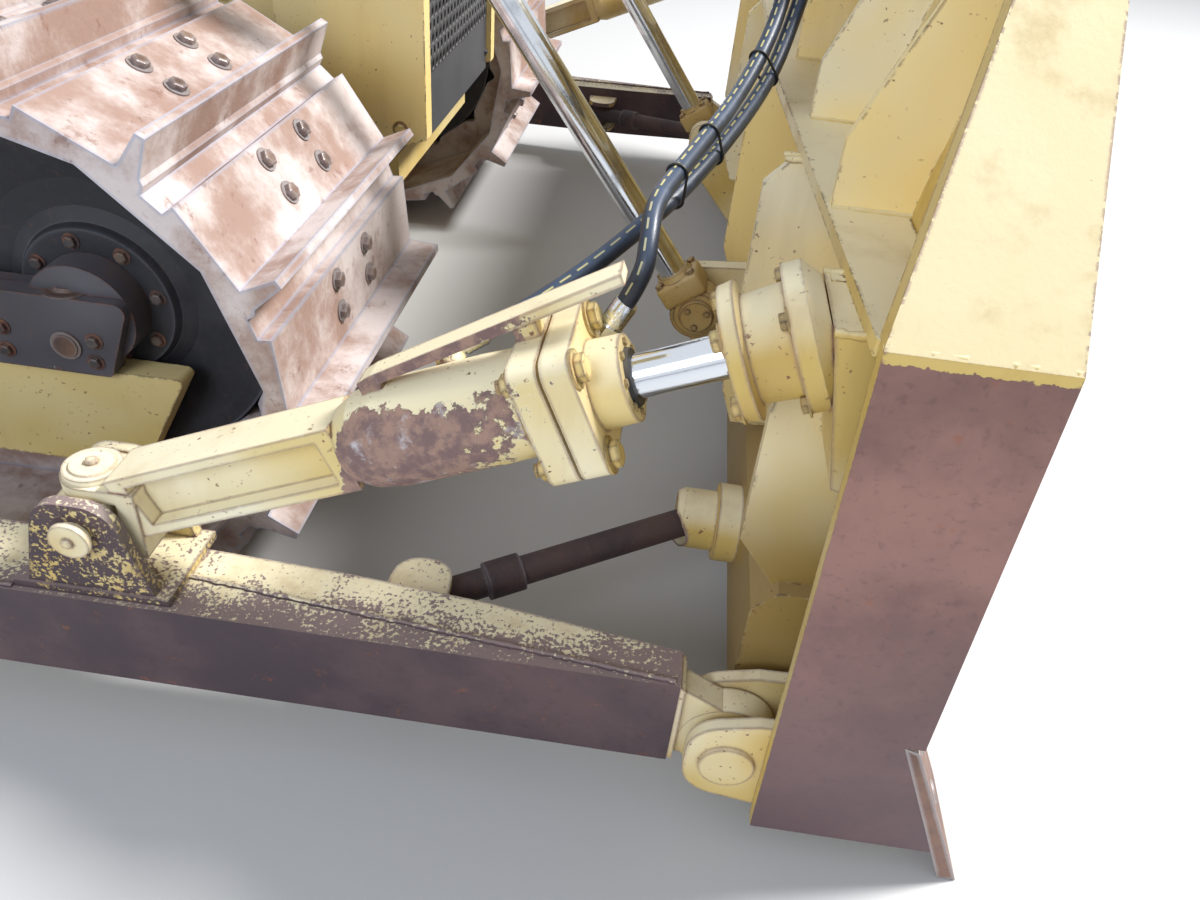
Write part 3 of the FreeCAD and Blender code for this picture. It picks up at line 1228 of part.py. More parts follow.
def cross_block(side):
    """Universal block between the arm's ears and the brace's fork."""
    centre = V(FORK_X, side * STRUT_Y, FORK_Z)
    cube = box(FORK_X - 42.0, FORK_X + 42.0, centre.y - 61.0, centre.y + 61.0, FORK_Z - 40.7, FORK_Z + 40.7)
    pin = rod(centre - V(0, 96.0, 0), centre + V(0, 96.0, 0), 26.0)
    post = rod(centre - V(0, 0, 66.0), centre + V(0, 0, 74.0), 24.0)
    return joined([cube, pin, post])


def strut_way():
    return V(BALL_X - FORK_X, 0, BALL_Z - FORK_Z).normalize()


def fork(side):
    """Brace's rear fork with its H-section neck."""
    centre = V(FORK_X, side * STRUT_Y, FORK_Z)
    way = strut_way()
    pieces = []
    for z0, z1 in ((-64.0, -41.0), (41.0, 64.0)):
        disc = rod(centre + V(0, 0, z0), centre + V(0, 0, z1), 50.0)
        bar = box(FORK_X, FORK_X + 78.0, centre.y - 50.0, centre.y + 50.0, FORK_Z + z0, FORK_Z + z1)
        pieces += [disc, bar]
    pieces.append(box(FORK_X + 56.0, FORK_X + 88.0, centre.y - 50.0, centre.y + 50.0, FORK_Z - 64.0,
                      FORK_Z + 64.0))
    lean = math.atan2(way.z, way.x)
    neck = box(70.0, 470.0, -46.0, 46.0, -56.0, 56.0)
    neck = neck.cut([box(100.0, 440.0, -60.0, -16.0, -38.0, 38.0),
                     box(100.0, 440.0, 16.0, 60.0, -38.0, 38.0)])
    neck.Placement = Placement(centre, Rotation(V(0, 1, 0), -math.degrees(lean)))
    pieces.append(neck)
    whole = joined(pieces)
    return whole.cut(rod(centre - V(0, 0, 80.0), centre + V(0, 0, 80.0), 24.0 + FIT))


def strut_point(along, up, y):
    """Place on the brace: along its line from the fork, and up from it."""
    way = strut_way()
    return V(FORK_X + along * way.x - up * way.z, y, FORK_Z + along * way.z + up * way.x)


def strut_slab(corners, y0, y1):
    """Outline of (along, up) corners on the brace, from y0 to y1."""
    placed = [strut_point(along, up, 0.0) for along, up in corners]
    return slab("y", [(p.x, p.z) for p in placed], y0, y1)


def guard_bar(side):
    """Flat bar over the barrel that shields the hose at its rear port."""
    y = side * (STRUT_Y - 10.0)
    low = TILT_BARREL - 10.0
    bar = [(528.0, low), (556.0, low), (562.0, 88.0), (940.0, 138.0), (940.0, 154.0), (552.0, 103.0),
           (528.0, 96.0)]
    foot = [(TILT_FLANGE + 4.0, FLANGE_HALF - 10.0), (TILT_FLANGE + 38.0, FLANGE_HALF - 10.0),
            (TILT_FLANGE + 38.0, 126.0),
            (TILT_FLANGE + 4.0, 121.0)]
    return [strut_slab(bar, y - 21.0, y + 21.0), strut_slab(foot, y - 16.0, y + 16.0)]


def hose_ports(side):
    """Two round bosses that the hoses screw into: one on the gland's cover, one on the barrel."""
    face = TILT_FACE - 6.0
    front = FRONT_HOSE[0]
    rear = REAR_HOSE[0]
    way = (rear - strut_point(640.0, 0.0, side * STRUT_Y)).normalize()
    return [rod(strut_point(face, 32.0, front.y), strut_point(face + 17.0, 32.0, front.y), 22.0),
            rod(rear - way * 34.0, rear + way * 4.0, 22.0)]


def tilt_barrel(side):
    """Cylinder barrel with its gland flange, cover, guard bar and two hose ports."""
    centre = V(FORK_X, side * STRUT_Y, FORK_Z)
    way = strut_way()
    size = TILT_BARREL
    profile = [(470.0, 60.0), (500.0, size - 6.0), (540.0, size), (700.0, size), (760.0, size - 2.0),
               (765.0, 66.0),
               (TILT_FACE + 49.0, 62.0)]
    body = turned(profile, centre, way)
    flange = square_flange(centre, way, TILT_FLANGE, TILT_FLANGE + 42.0, FLANGE_HALF)
    cover = square_flange(centre, way, TILT_COVER, TILT_FACE, FLANGE_HALF)
    bore = rod(centre + way * 600.0, centre + way * 1000.0, TILT_ROD_RADIUS + FIT)
    return joined([body, flange, cover] + hose_ports(side) + guard_bar(side)).cut(bore)


def tilt_hoses():
    """The tilt cylinder's two hoses, each with the crimped ferrule at its port."""
    hoses = []
    for route in (FRONT_HOSE, REAR_HOSE):
        way = (route[1] - route[0]).normalize()
        ferrule = rod(route[0] + way * 6.0, route[0] + way * FERRULE_LENGTH, FERRULE_RADIUS)
        hoses.append(joined([ferrule, bent_tube(route, HOSE_RADIUS)]).cut(hose_ports(-1.0)))
    return hoses


def square_flange(centre, way, near, far, half):
    lean = math.degrees(math.atan2(way.z, way.x))
    plate = slab("x", [(-half, -half, 26.0), (half, -half, 26.0), (half, half, 26.0), (-half, half, 26.0)],
                 near, far)
    plate.Placement = Placement(centre, Rotation(V(0, 1, 0), -lean))
    return plate


def tilt_rod(side):
    ball = V(BALL_X, side * STRUT_Y, BALL_Z)
    way = strut_way()
    shaft = rod(ball - way * 420.0, ball, TILT_ROD_RADIUS)
    return joined([shaft, Part.makeSphere(BALL_RADIUS, ball)])


def screw_brace(side):
    """Plain brace of the left side: sleeve, lock nut and threaded end with its ball."""
    centre = V(FORK_X, side * STRUT_Y, FORK_Z)
    ball = V(BALL_X, side * STRUT_Y, BALL_Z)
    way = strut_way()
    profile = [(470.0, 56.0), (500.0, 66.0), (820.0, 66.0), (826.0, 78.0), (866.0, 78.0), (870.0, 40.0),
               (1060.0, 40.0)]
    return joined([turned(profile, centre, way), Part.makeSphere(BALL_RADIUS, ball)])


def diagonal_brace():
    """Right tie between the arm's inner side and the blade's back: a tube with a ball at each end."""
    way = TIE_END - TIE_START
    length = way.Length
    near = math.sqrt(TIE_BALL * TIE_BALL - TIE_TUBE * TIE_TUBE)
    far = length - math.sqrt(TIE_TIP_BALL * TIE_TIP_BALL - TIE_TUBE * TIE_TUBE)
    edges = [Part.Arc(V(0, 0, -TIE_BALL), V(TIE_BALL, 0, 0), V(TIE_TUBE, 0, near)).toShape()]
    steps = [(TIE_TUBE, near), (TIE_TUBE, 120.0), (TIE_SLEEVE, 122.0), (TIE_SLEEVE, 190.0),
             (TIE_TUBE, 192.0),
             (TIE_TUBE, far)]
    for (r0, a0), (r1, a1) in zip(steps, steps[1:]):
        edges.append(Part.LineSegment(V(r0, 0, a0), V(r1, 0, a1)).toShape())
    edges.append(Part.Arc(V(TIE_TUBE, 0, far), V(TIE_TIP_BALL, 0, length),
                          V(0, 0, length + TIE_TIP_BALL)).toShape())
    edges.append(Part.LineSegment(V(0, 0, length + TIE_TIP_BALL), V(0, 0, -TIE_BALL)).toShape())
    solid = Part.Face(Part.Wire(edges)).revolve(V(0, 0, 0), V(0, 0, 1), 360)
    solid.Placement = Placement(TIE_START, Rotation(V(0, 0, 1), way))
    return solid


def tie_bracket():
    """Two shelves on the right arm's inner side that hold the tie's rear ball."""
    pieces = []
    x, y, z = TIE_START.x, TIE_START.y, TIE_START.z
    root = -ARM_INNER - 34.0
    near = TIE_BALL + FIT
    outline = [(x - 60.0, root), (x + 60.0, root), (x + 50.0, y + 50.0, 48.0), (x - 50.0, y + 50.0, 48.0)]
    for z0, z1 in ((-near - 16.0, -near), (near, near + 16.0)):
        pieces.append(slab("z", outline, z + z0, z + z1))
    return pieces


def brace_socket():
    """Cap on the blade's back round the right tie's ball."""
    ball = TIE_END
    foot = BEAM_REAR - ball.x + 20.0
    cap = turned([(-20.0, 52.0), (-6.0, 60.0), (58.0, 60.0), (60.0, 78.0), (foot, 78.0)],
                 ball - V(20.0, 0, 0), V(1, 0, 0))
    way = (TIE_START - TIE_END).normalize()
    room = TIE_BALL
    return cap.cut([Part.makeSphere(room, ball), rod(ball - V(60.0, 0, 0), ball, room),
                    rod(ball, ball + way * 160.0, room)])


def seat():
    low = CAB_FLOOR_TOP + 410.0
    cushion = [(-1010.0, low, 30.0), (-560.0, low + 20.0, 50.0), (-560.0, low + 140.0, 50.0),
               (-1010.0, low + 100.0, 30.0)]
    back = [(-1040.0, low + 40.0, 30.0), (-920.0, low + 40.0, 30.0), (-1010.0, low + 720.0, 50.0),
            (-1120.0, low + 720.0, 50.0)]
    base = box(-960.0, -640.0, -180.0, 180.0, CAB_FLOOR_TOP, low + 4.0)
    return joined([slab("y", cushion, -250.0, 250.0), slab("y", back, -240.0, 240.0), base])


def console():
    """Armrest boxes with their levers, and the dashboard."""
    low = CAB_FLOOR_TOP
    arm = [(-900.0, low), (-480.0, low), (-440.0, low + 590.0, 30.0), (-900.0, low + 570.0, 30.0)]
    dash = [(CAB_FRONT - 300.0, low), (CAB_FRONT - 50.0, low), (CAB_FRONT - 50.0, low + 370.0),
            (CAB_FRONT - 180.0, low + 430.0, 40.0),
            (CAB_FRONT - 300.0, low + 310.0, 40.0)]
    left = slab("y", arm, 300.0, 520.0)
    grips = levers()
    return [joined([other_side(left), grips[0]]), joined([left, grips[1]]), slab("y", dash, -280.0, 280.0)]


def levers():
    profile = [(-6.0, 40.0), (10.0, 30.0), (20.0, 12.0), (110.0, 12.0), (120.0, 26.0), (190.0, 24.0),
               (200.0, 10.0)]
    return [turned(profile, V(-560.0, y, CAB_FLOOR_TOP + 580.0), V(0.1, 0, 1)) for y in (-400.0, 400.0)]


def lamp(front, y, base):
    """Round work lamp on a foot, facing forward, with a hollow front for its lens."""
    centre = V(front - 90.0, y, base + LAMP_RISE)
    bowl = turned([(0.0, 18.0), (14.0, 36.0), (55.0, 46.0), (74.0, 46.0), (76.0, LAMP_RADIUS),
                   (90.0, LAMP_RADIUS)], centre, V(1, 0, 0))
    foot = box(front - 62.0, front - 34.0, y - 22.0, y + 22.0, base, base + LAMP_RISE - 30.0)
    recess = rod(V(front - 14.0, y, centre.z), V(front + 1.0, y, centre.z), LAMP_RADIUS - 6.0)
    return joined([bowl, foot]).cut(recess)


def lamps():
    pieces = []
    for side in (-1, 1):
        pieces.append(lamp(GUARD_FRONT - 160.0, side * 300.0, GUARD_TOP))
        pieces.append(lamp(CAB_FRONT + 90.0, side * 380.0, CAB_ROOF_LOW + ROOF_EDGE))
    return pieces


def both(make):
    return group([make(-1.0), make(1.0)])


def mirrored_pair(right):
    return group([right, other_side(right)])


def build():
    for name, side in (("right", -1.0), ("left", 1.0)):
        save("track_" + name, track(side * GAUGE_HALF))
        save("lift_barrel_" + name, lift_barrel(side))
        save("push_arm_" + name, push_arm(side))
        save("cross_block_" + name, cross_block(side))
    save_pair("lift_rod", lift_rod(-1.0))
    save("idlers", both(idler))
    save("idler_yokes", both(idler_yoke))
    save("sprockets", both(sprocket))
    save("final_drives", both(final_drive))
    save("rollers", group(rollers(-1.0) + rollers(1.0)))
    save("track_frames", both(track_frame))
    save("trunnions", both(trunnion))
    save("lift_yokes", both(lift_yoke))
    save("strut_blocks", both(strut_block))
    save_pair("arm_tip", arm_tip())
    save("arm_rings", group(arm_rings()))
    save("tilt_barrel", joined([fork(-1.0), tilt_barrel(-1.0)]))
    save("tilt_hoses", group(tilt_hoses()))
    save("tilt_rod", tilt_rod(-1.0))
    save("screw_brace", joined([fork(1.0), screw_brace(1.0)]))
    save_pair("diagonal_brace", diagonal_brace())
    save("main_frame", main_frame())
    save("radiator_guard", radiator_guard())
    save("grille", grille())
    save("radiator", radiator())
    save("engine", engine())
    save("hood", hood())
    save("side_panels", mirrored_pair(side_panel()))
    save("exhaust_stack", stack())
    save("precleaner", precleaner())
    save("cab_floor", cab_floor())
    save("cab_shell", cab_shell())
    save("cab_roof", cab_roof())
    save("cab_glass", group(cab_glass()))
    save_pair("door", joined([cab_door(), door_handle()] + hinge_half(True)))
    save_pair("door_glass", door_glass())
    save("seat", seat())
    save("console", group(console()))
    save("fenders", mirrored_pair(fender()))
    save("fender_tanks", mirrored_pair(fender_box()))
    save("handrails", mirrored_pair(handrail()))
    save("fuel_tank", fuel_tank())
    save("counterweight", counterweight())
    save("drawbar", drawbar())
    save("lamps", group(lamps()))
    save("blade", blade())
    save("blade_back", group([blade_back(), hose_cover()]))
    save("blade_ribs", group(blade_ribs()))
    save("cutting_edge", cutting_edge())
    save("end_bits", group(end_bits()))
    socket = brace_socket()
    lugs = lift_lugs() + [socket, other_side(socket), arm_ears(-1.0), arm_ears(1.0)]
    save("blade_lugs", group(lugs))


build()
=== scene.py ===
# %% [markdown]
# A crawler bulldozer, dressed in Blender on top of its solid model. The solids are already the right shape
# and size, so this lesson adds what makes steel look used: paint that has chipped, rust, scuffed track shoes,
# bolts, hoses and a soft seat. Everything is in metres, +X is forward and +Z is up.

import math
import random

import bmesh
import bpy
from mathutils import Matrix, Vector
from mathutils.bvhtree import BVHTree


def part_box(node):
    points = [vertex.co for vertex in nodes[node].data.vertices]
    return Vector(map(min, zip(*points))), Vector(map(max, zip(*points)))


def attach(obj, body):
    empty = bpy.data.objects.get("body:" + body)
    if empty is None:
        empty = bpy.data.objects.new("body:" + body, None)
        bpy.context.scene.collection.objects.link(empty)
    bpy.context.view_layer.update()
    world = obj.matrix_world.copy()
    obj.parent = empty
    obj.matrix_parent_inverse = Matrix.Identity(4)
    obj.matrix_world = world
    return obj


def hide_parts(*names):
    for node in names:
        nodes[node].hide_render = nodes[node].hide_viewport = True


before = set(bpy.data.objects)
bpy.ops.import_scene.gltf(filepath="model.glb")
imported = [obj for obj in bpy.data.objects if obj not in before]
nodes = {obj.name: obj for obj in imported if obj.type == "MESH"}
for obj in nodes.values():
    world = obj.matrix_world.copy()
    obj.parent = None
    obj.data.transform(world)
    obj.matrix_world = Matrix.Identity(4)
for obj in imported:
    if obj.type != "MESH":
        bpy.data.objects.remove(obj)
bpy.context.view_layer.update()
print("loaded", len(nodes), "pieces")

# %% [markdown]
# The camera stands beside the right end of the blade and looks down over the push arm. A wide lens of 28 mm
# gives the strong perspective of a picture that is taken from an arm's length away.

# %% Camera
lens = bpy.data.cameras.new("camera")
lens.sensor_width = 36.0
lens.lens = 27.99
lens.clip_end = 100.0
camera = bpy.data.objects.new("camera", lens)
camera.location = (2.076, -2.659, 1.50)
camera.rotation_euler = (0.929263, -0.087451, 0.110655)
bpy.context.scene.collection.objects.link(camera)
bpy.context.scene.camera = camera
print("camera at", tuple(camera.location))

# %% [markdown]
# The studio is a pale floor under a pale sky. The sky is white where the camera or a glossy surface looks
# straight at it, and dimmer where it lights the machine, so that the paint keeps its own colour. One large
# lamp stands in front of the blade and high up: it leaves the back of the blade and the outer side of the
# arm in soft shade.

# %% Floor, sky and lamps
def link(tree, source, target):
    tree.links.new(source, target)


def node(tree, kind, settings=None, **values):
    """A shader node; values are sockets to link or constants to set."""
    made = tree.nodes.new(kind)
    for key, value in (settings or {}).items():
        setattr(made, key, value)
    for key, value in values.items():
        socket = made.inputs[key.replace("_", " ")]
        if isinstance(value, bpy.types.NodeSocket):
            link(tree, value, socket)
        else:
            socket.default_value = value
    return made


def seen_directly(tree):
    """1 where the camera, a reflection or a view through glass meets the surface."""
    path = node(tree, "ShaderNodeLightPath")
    first = node(tree, "ShaderNodeMath", {"operation": "MAXIMUM"})
    link(tree, path.outputs["Is Camera Ray"], first.inputs[0])
    link(tree, path.outputs["Is Glossy Ray"], first.inputs[1])
    second = node(tree, "ShaderNodeMath", {"operation": "MAXIMUM"})
    link(tree, first.outputs[0], second.inputs[0])
    link(tree, path.outputs["Is Transmission Ray"], second.inputs[1])
    return second.outputs[0]


scene = bpy.context.scene
scene.view_settings.view_transform = "Standard"
world = bpy.data.worlds.new("studio")
scene.world = world
world.use_nodes = True
sky = world.node_tree
background = sky.nodes["Background"]
background.inputs["Color"].default_value = (0.93, 0.96, 1.0, 1.0)
glow = node(sky, "ShaderNodeMapRange", Value=seen_directly(sky))
glow.inputs["To Min"].default_value = 0.50
glow.inputs["To Max"].default_value = 0.97
link(sky, glow.outputs[0], background.inputs["Strength"])

floor_mesh = bmesh.new()
bmesh.ops.create_grid(floor_mesh, x_segments=1, y_segments=1, size=40.0)
bmesh.ops.translate(floor_mesh, verts=floor_mesh.verts, vec=(0.0, 0.0, -0.002))
floor_data = bpy.data.meshes.new("floor")
floor_mesh.to_mesh(floor_data)
floor = bpy.data.objects.new("floor", floor_data)
scene.collection.objects.link(floor)
floor_paint = bpy.data.materials.new("floor")
floor_paint.use_nodes = True
floor_tree = floor_paint.node_tree
floor_tree.nodes["Principled BSDF"].inputs["Base Color"].default_value = (0.60, 0.61, 0.63, 1.0)
floor_tree.nodes["Principled BSDF"].inputs["Roughness"].default_value = 0.9
floor_data.materials.append(floor_paint)


def lamp(name, place, aim, size, power, colour):
    data = bpy.data.lights.new(name, "AREA")
    data.shape = "DISK"
    data.size = size
    data.energy = power
    data.color = colour
    lamp_object = bpy.data.objects.new(name, data)
    lamp_object.location = place
    way = Vector(aim) - Vector(place)
    lamp_object.rotation_euler = way.to_track_quat("-Z", "Y").to_euler()
    scene.collection.objects.link(lamp_object)
    return lamp_object


key_lamp = lamp("key", (8.5, 1.5, 9.0), (0.8, -0.3, 0.7), 2.6, 2080.0, (1.0, 0.97, 0.92))
side_lamp = lamp("side", (-1.5, -9.0, 5.5), (0.3, 0.0, 0.8), 5.0, 400.0, (0.84, 0.91, 1.0))
print("lamps", key_lamp.name, side_lamp.name)

# %% [markdown]
# Most of the machine is painted steel that has worked for years. Such a finish has layers: paint, a pale
# broken rim, then dark rust or bare metal. One function builds that stack, and every painted piece calls it
# with its own amounts. The edges wear first, so the function finds them with the Bevel node, which compares
# the rounded normal with the true one. All patterns are noise on Object coordinates, so they stay in place.

# %% Building blocks for finishes
def tint(red, green, blue):
    """Linear colour from an everyday 0 to 255 one."""
    def straight(value):
        value = value / 255.0
        return value / 12.92 if value <= 0.04045 else ((value + 0.055) / 1.055) ** 2.4
    return (straight(red), straight(green), straight(blue), 1.0)


def maths(tree, operation, a, b=0.0):
    made = node(tree, "ShaderNodeMath", {"operation": operation})
    for socket, value in zip(made.inputs, (a, b)):
        if isinstance(value, bpy.types.NodeSocket):
            link(tree, value, socket)
        else:
            socket.default_value = value
    return made.outputs[0]


def step(tree, value, low, high):
    """Smooth ramp from 0 at low to 1 at high."""
    made = node(tree, "ShaderNodeMapRange", {"interpolation_type": "SMOOTHSTEP"}, Value=value)
    made.inputs["From Min"].default_value = low
    made.inputs["From Max"].default_value = high
    return made.outputs[0]


def mix(tree, factor, first, second):
    made = node(tree, "ShaderNodeMix", {"data_type": "RGBA"})
    for socket, value in zip((made.inputs[0], made.inputs[6], made.inputs[7]), (factor, first, second)):
        if isinstance(value, bpy.types.NodeSocket):
            link(tree, value, socket)
        else:
            socket.default_value = value
    return made.outputs[2]


def blend_value(tree, factor, first, second):
    made = node(tree, "ShaderNodeMix", {"data_type": "FLOAT"})
    for socket, value in zip((made.inputs[0], made.inputs[2], made.inputs[3]), (factor, first, second)):
        if isinstance(value, bpy.types.NodeSocket):
            link(tree, value, socket)
        else:
            socket.default_value = value
    return made.outputs[0]


def place(tree, stretch=(1.0, 1.0, 1.0), shift=(0.0, 0.0, 0.0), turn=(0.0, 0.0, 0.0)):
    coordinates = node(tree, "ShaderNodeTexCoord").outputs["Object"]
    if (stretch, shift, turn) == ((1.0,) * 3, (0.0,) * 3, (0.0,) * 3):
        return coordinates
    made = node(tree, "ShaderNodeMapping", Vector=coordinates, Location=shift, Rotation=turn, Scale=stretch)
    return made.outputs[0]


def noise(tree, scale, detail=4.0, rough=0.6, **where):
    made = node(tree, "ShaderNodeTexNoise", Vector=place(tree, **where), Scale=scale, Detail=detail, Roughness=rough)
    return made.outputs[0]


def axis(tree, vector, name):
    return node(tree, "ShaderNodeSeparateXYZ", Vector=vector).outputs[name]


def facing(tree, name):
    """Part of the surface's direction along one axis, from -1 to 1."""
    return axis(tree, node(tree, "ShaderNodeTexCoord").outputs["Normal"], name)


def height(tree, name):
    """Place along one axis, in metres."""
    return axis(tree, node(tree, "ShaderNodeTexCoord").outputs["Object"], name)


def edge(tree, radius=0.010):
    """1 on the rims of a piece, 0 on its flats."""
    rounded = node(tree, "ShaderNodeBevel", {"samples": 4}, Radius=radius)
    geometry = node(tree, "ShaderNodeNewGeometry")
    dot = node(tree, "ShaderNodeVectorMath", {"operation": "DOT_PRODUCT"})
    link(tree, rounded.outputs[0], dot.inputs[0])
    link(tree, geometry.outputs["Normal"], dot.inputs[1])
    return step(tree, maths(tree, "SUBTRACT", 1.0, dot.outputs["Value"]), 0.02, 0.22)


def start_finish(name):
    material = bpy.data.materials.new(name)
    material.use_nodes = True
    tree = material.node_tree
    return material, tree, tree.nodes["Principled BSDF"]


def raise_by(tree, shader, value, depth):
    """Bump from a height of 0 to 1 that stands depth metres high."""
    bump = node(tree, "ShaderNodeBump", Height=value, Strength=1.0, Distance=depth)
    link(tree, bump.outputs[0], shader.inputs["Normal"])


YELLOW = tint(208, 180, 104)
# The two pale paints below are faded paint, and also painted sunlight where a finish turns faces that look up pale.
FADED_AND_SUNLIT = tint(222, 204, 150)
BLEACHED_AND_SUNLIT = tint(242, 235, 208)
DEEP = tint(168, 128, 58)
RUST = tint(118, 74, 56)
DARK_RUST = tint(62, 46, 46)
RAW_STEEL = tint(128, 126, 136)
PALE_RIM = tint(232, 224, 194)


def rust_colour(tree, dark=DARK_RUST, light=RUST, scale=30.0):
    return mix(tree, step(tree, noise(tree, scale, 6.0, 0.7), 0.42, 0.62), dark, light)


def painted(name, wear=0.3, rims=0.5, spots=0.2, grime=0.3, bare=None, paint=YELLOW, pale=FADED_AND_SUNLIT, size=1.0,
            steel=(DARK_RUST, RUST, RAW_STEEL), scuffs=0.5, low_painted_shade=0.0):
    """Worn paint over rusting steel, with painted sunlight on faces that look up. wear, rims, spots, grime, scuffs
    and low_painted_shade (painted shade low down) run from 0 to 1; bare(tree) gives a mask, steel the tones of old
    rust, fresh rust and scuffed metal."""
    material, tree, shader = start_finish(name)
    broad = noise(tree, 1.7 * size, 3.0)
    fine = noise(tree, 46.0 * size, 8.0, 0.72)
    middle = noise(tree, 9.0 * size, 5.0, 0.65)
    rim = edge(tree)
    push = maths(tree, "MULTIPLY", rim, rims * 0.34)
    push = maths(tree, "ADD", push, maths(tree, "MULTIPLY", middle, 0.30))
    push = maths(tree, "ADD", push, maths(tree, "MULTIPLY", fine, 0.55))
    if bare is not None:
        push = maths(tree, "ADD", push, maths(tree, "MULTIPLY", bare(tree), 0.42))
    limit = 0.66 - 0.16 * wear
    chipped = step(tree, push, limit, limit + 0.018)
    halo = step(tree, push, limit - 0.030, limit)
    speckle = step(tree, noise(tree, 105.0 * size, 3.0, 0.5), 0.70 - 0.10 * spots, 0.74 - 0.10 * spots)
    speckle = maths(tree, "MULTIPLY", speckle, step(tree, middle, 0.40, 0.62))
    tone = mix(tree, step(tree, broad, 0.36, 0.66), paint, pale)
    # Painted sunlight and dust: faces that look up turn towards the pale paint.
    dust_and_sunlit_top = mix(tree, maths(tree, "MULTIPLY", step(tree, facing(tree, "Z"), 0.2, 0.9), 0.80), tone, pale)
    streak = noise(tree, 7.0, 5.0, 0.6, stretch=(1.0, 1.0, 0.16))
    dirty = maths(tree, "MULTIPLY", step(tree, streak, 0.50, 0.78), grime)
    coat = mix(tree, dirty, dust_and_sunlit_top, DEEP)
    # Painted shade: below about 0.6 m the paint darkens towards a shaded yellow, for the shade under the blade's
    # shelf.
    if low_painted_shade > 0.0:
        low = maths(tree, "SUBTRACT", 1.0, step(tree, height(tree, "Z"), 0.45, 0.72))
        coat = mix(tree, maths(tree, "MULTIPLY", low, low_painted_shade), coat, tint(142, 114, 56))
    coat = mix(tree, maths(tree, "MULTIPLY", halo, 0.55), coat, PALE_RIM)
    coat = mix(tree, speckle, coat, RUST)
    scuffed = step(tree, noise(tree, 16.0, 5.0, 0.7), 0.55, 0.72)
    metal = mix(tree, maths(tree, "MULTIPLY", scuffed, scuffs), rust_colour(tree, steel[0], steel[1]), steel[2])
    link(tree, mix(tree, chipped, coat, metal), shader.inputs["Base Color"])
    gloss = blend_value(tree, chipped, 0.46, 0.72)
    link(tree, maths(tree, "ADD", gloss, maths(tree, "MULTIPLY", fine, 0.10)), shader.inputs["Roughness"])
    relief = maths(tree, "SUBTRACT", maths(tree, "MULTIPLY", fine, 0.35), maths(tree, "MULTIPLY", chipped, 0.6))
    raise_by(tree, shader, relief, 0.0011)
    return material


def coated(node_name, material):
    """Gives a solid of the model its finish."""
    mesh = nodes[node_name].data
    for i in range(max(1, len(mesh.materials))):
        if i < len(mesh.materials):
            mesh.materials[i] = material
        else:
            mesh.materials.append(material)


body_paint = painted("body paint", wear=0.16, rims=0.45, spots=0.10, grime=0.30)
for name in ("hood", "side_panels", "cab_shell", "cab_roof", "cab_floor", "fuel_tank", "fender_tanks", "counterweight",
             "lift_yokes", "door_right", "door_left", "main_frame", "final_drives", "trunnions",
             "lift_barrel_right", "lift_barrel_left"):
    coated(name, body_paint)
# Painted sunlight: the guard's paint is a brighter copy of the body paint, for the sun on its outer side.
coated("radiator_guard", painted("sunlit guard paint", wear=0.22, rims=0.6, spots=0.3, grime=0.25, paint=tint(246, 214, 138),
                                 pale=tint(240, 222, 166)))
frame_paint = painted("track frame paint", wear=0.42, rims=0.55, spots=0.45, grime=0.5)
coated("track_frames", frame_paint)
WORN_STEEL = (tint(122, 98, 96), tint(160, 130, 116), tint(206, 201, 206))
# The blade's back has painted shade low down, for the shade under its shelf, and painted sunlight on its tops.
blade_paint = painted("blade paint", wear=0.18, rims=0.60, spots=0.20, grime=0.36, paint=tint(222, 196, 124),
                      pale=BLEACHED_AND_SUNLIT, low_painted_shade=0.85)
coated("blade_back", blade_paint)
# Painted sunlight: the ribs' paint is a brighter copy of the blade paint, for the sun on their faces.
coated("blade_ribs", painted("sunlit rib paint", wear=0.18, rims=0.60, spots=0.20, grime=0.30, paint=tint(250, 224, 152),
                             pale=BLEACHED_AND_SUNLIT))
brace_paint = painted("brace paint", wear=0.46, rims=0.85, spots=0.40, grime=0.35, pale=BLEACHED_AND_SUNLIT,
                      steel=WORN_STEEL, scuffs=0.7)
for name in ("screw_brace", "strut_blocks", "blade_lugs", "cross_block_right", "cross_block_left", "arm_tip_right",
             "arm_tip_left"):
    coated(name, brace_paint)


def barrel_bare(tree):
    """The barrel's outer and lower side, which stones and the bank have scraped."""
    outer = step(tree, maths(tree, "MULTIPLY", facing(tree, "Y"), -1.0), 0.30, 0.95)
    under = step(tree, maths(tree, "MULTIPLY", facing(tree, "Z"), -1.0), 0.10, 0.80)
    rear_band = maths(tree, "SUBTRACT", 1.0, step(tree, height(tree, "X"), 1.690, 1.800))
    ahead = step(tree, height(tree, "X"), 1.640, 1.675)
    worn = maths(tree, "ADD", maths(tree, "MAXIMUM", outer, under), maths(tree, "MULTIPLY", rear_band, 0.35))
    fade = maths(tree, "SUBTRACT", 1.0, step(tree, height(tree, "X"), 1.820, 1.960))
    ahead = maths(tree, "MULTIPLY", ahead, blend_value(tree, fade, 0.25, 1.0))
    return maths(tree, "MULTIPLY", maths(tree, "MULTIPLY", worn, 0.70), ahead)


coated("tilt_barrel", painted("tilt barrel paint", wear=0.44, rims=0.9, spots=0.4, grime=0.3, bare=barrel_bare,
                              paint=tint(222, 200, 136), pale=BLEACHED_AND_SUNLIT, steel=WORN_STEEL, scuffs=0.9))
print("painted", len(bpy.data.materials), "finishes so far")

# %% [markdown]
# The outer faces of the blade's end plates and of the push arms rub against banks of earth. Their paint has
# gone and a smooth brown rust has taken its place, with yellow left only where the plates fold. The finish
# is the same paint stack with a mask that says where the steel is bare.

# %% Blade and push arms
END_TONES = (tint(120, 88, 82), tint(152, 112, 102))
ARM_TONES = (tint(66, 54, 60), tint(94, 74, 76))


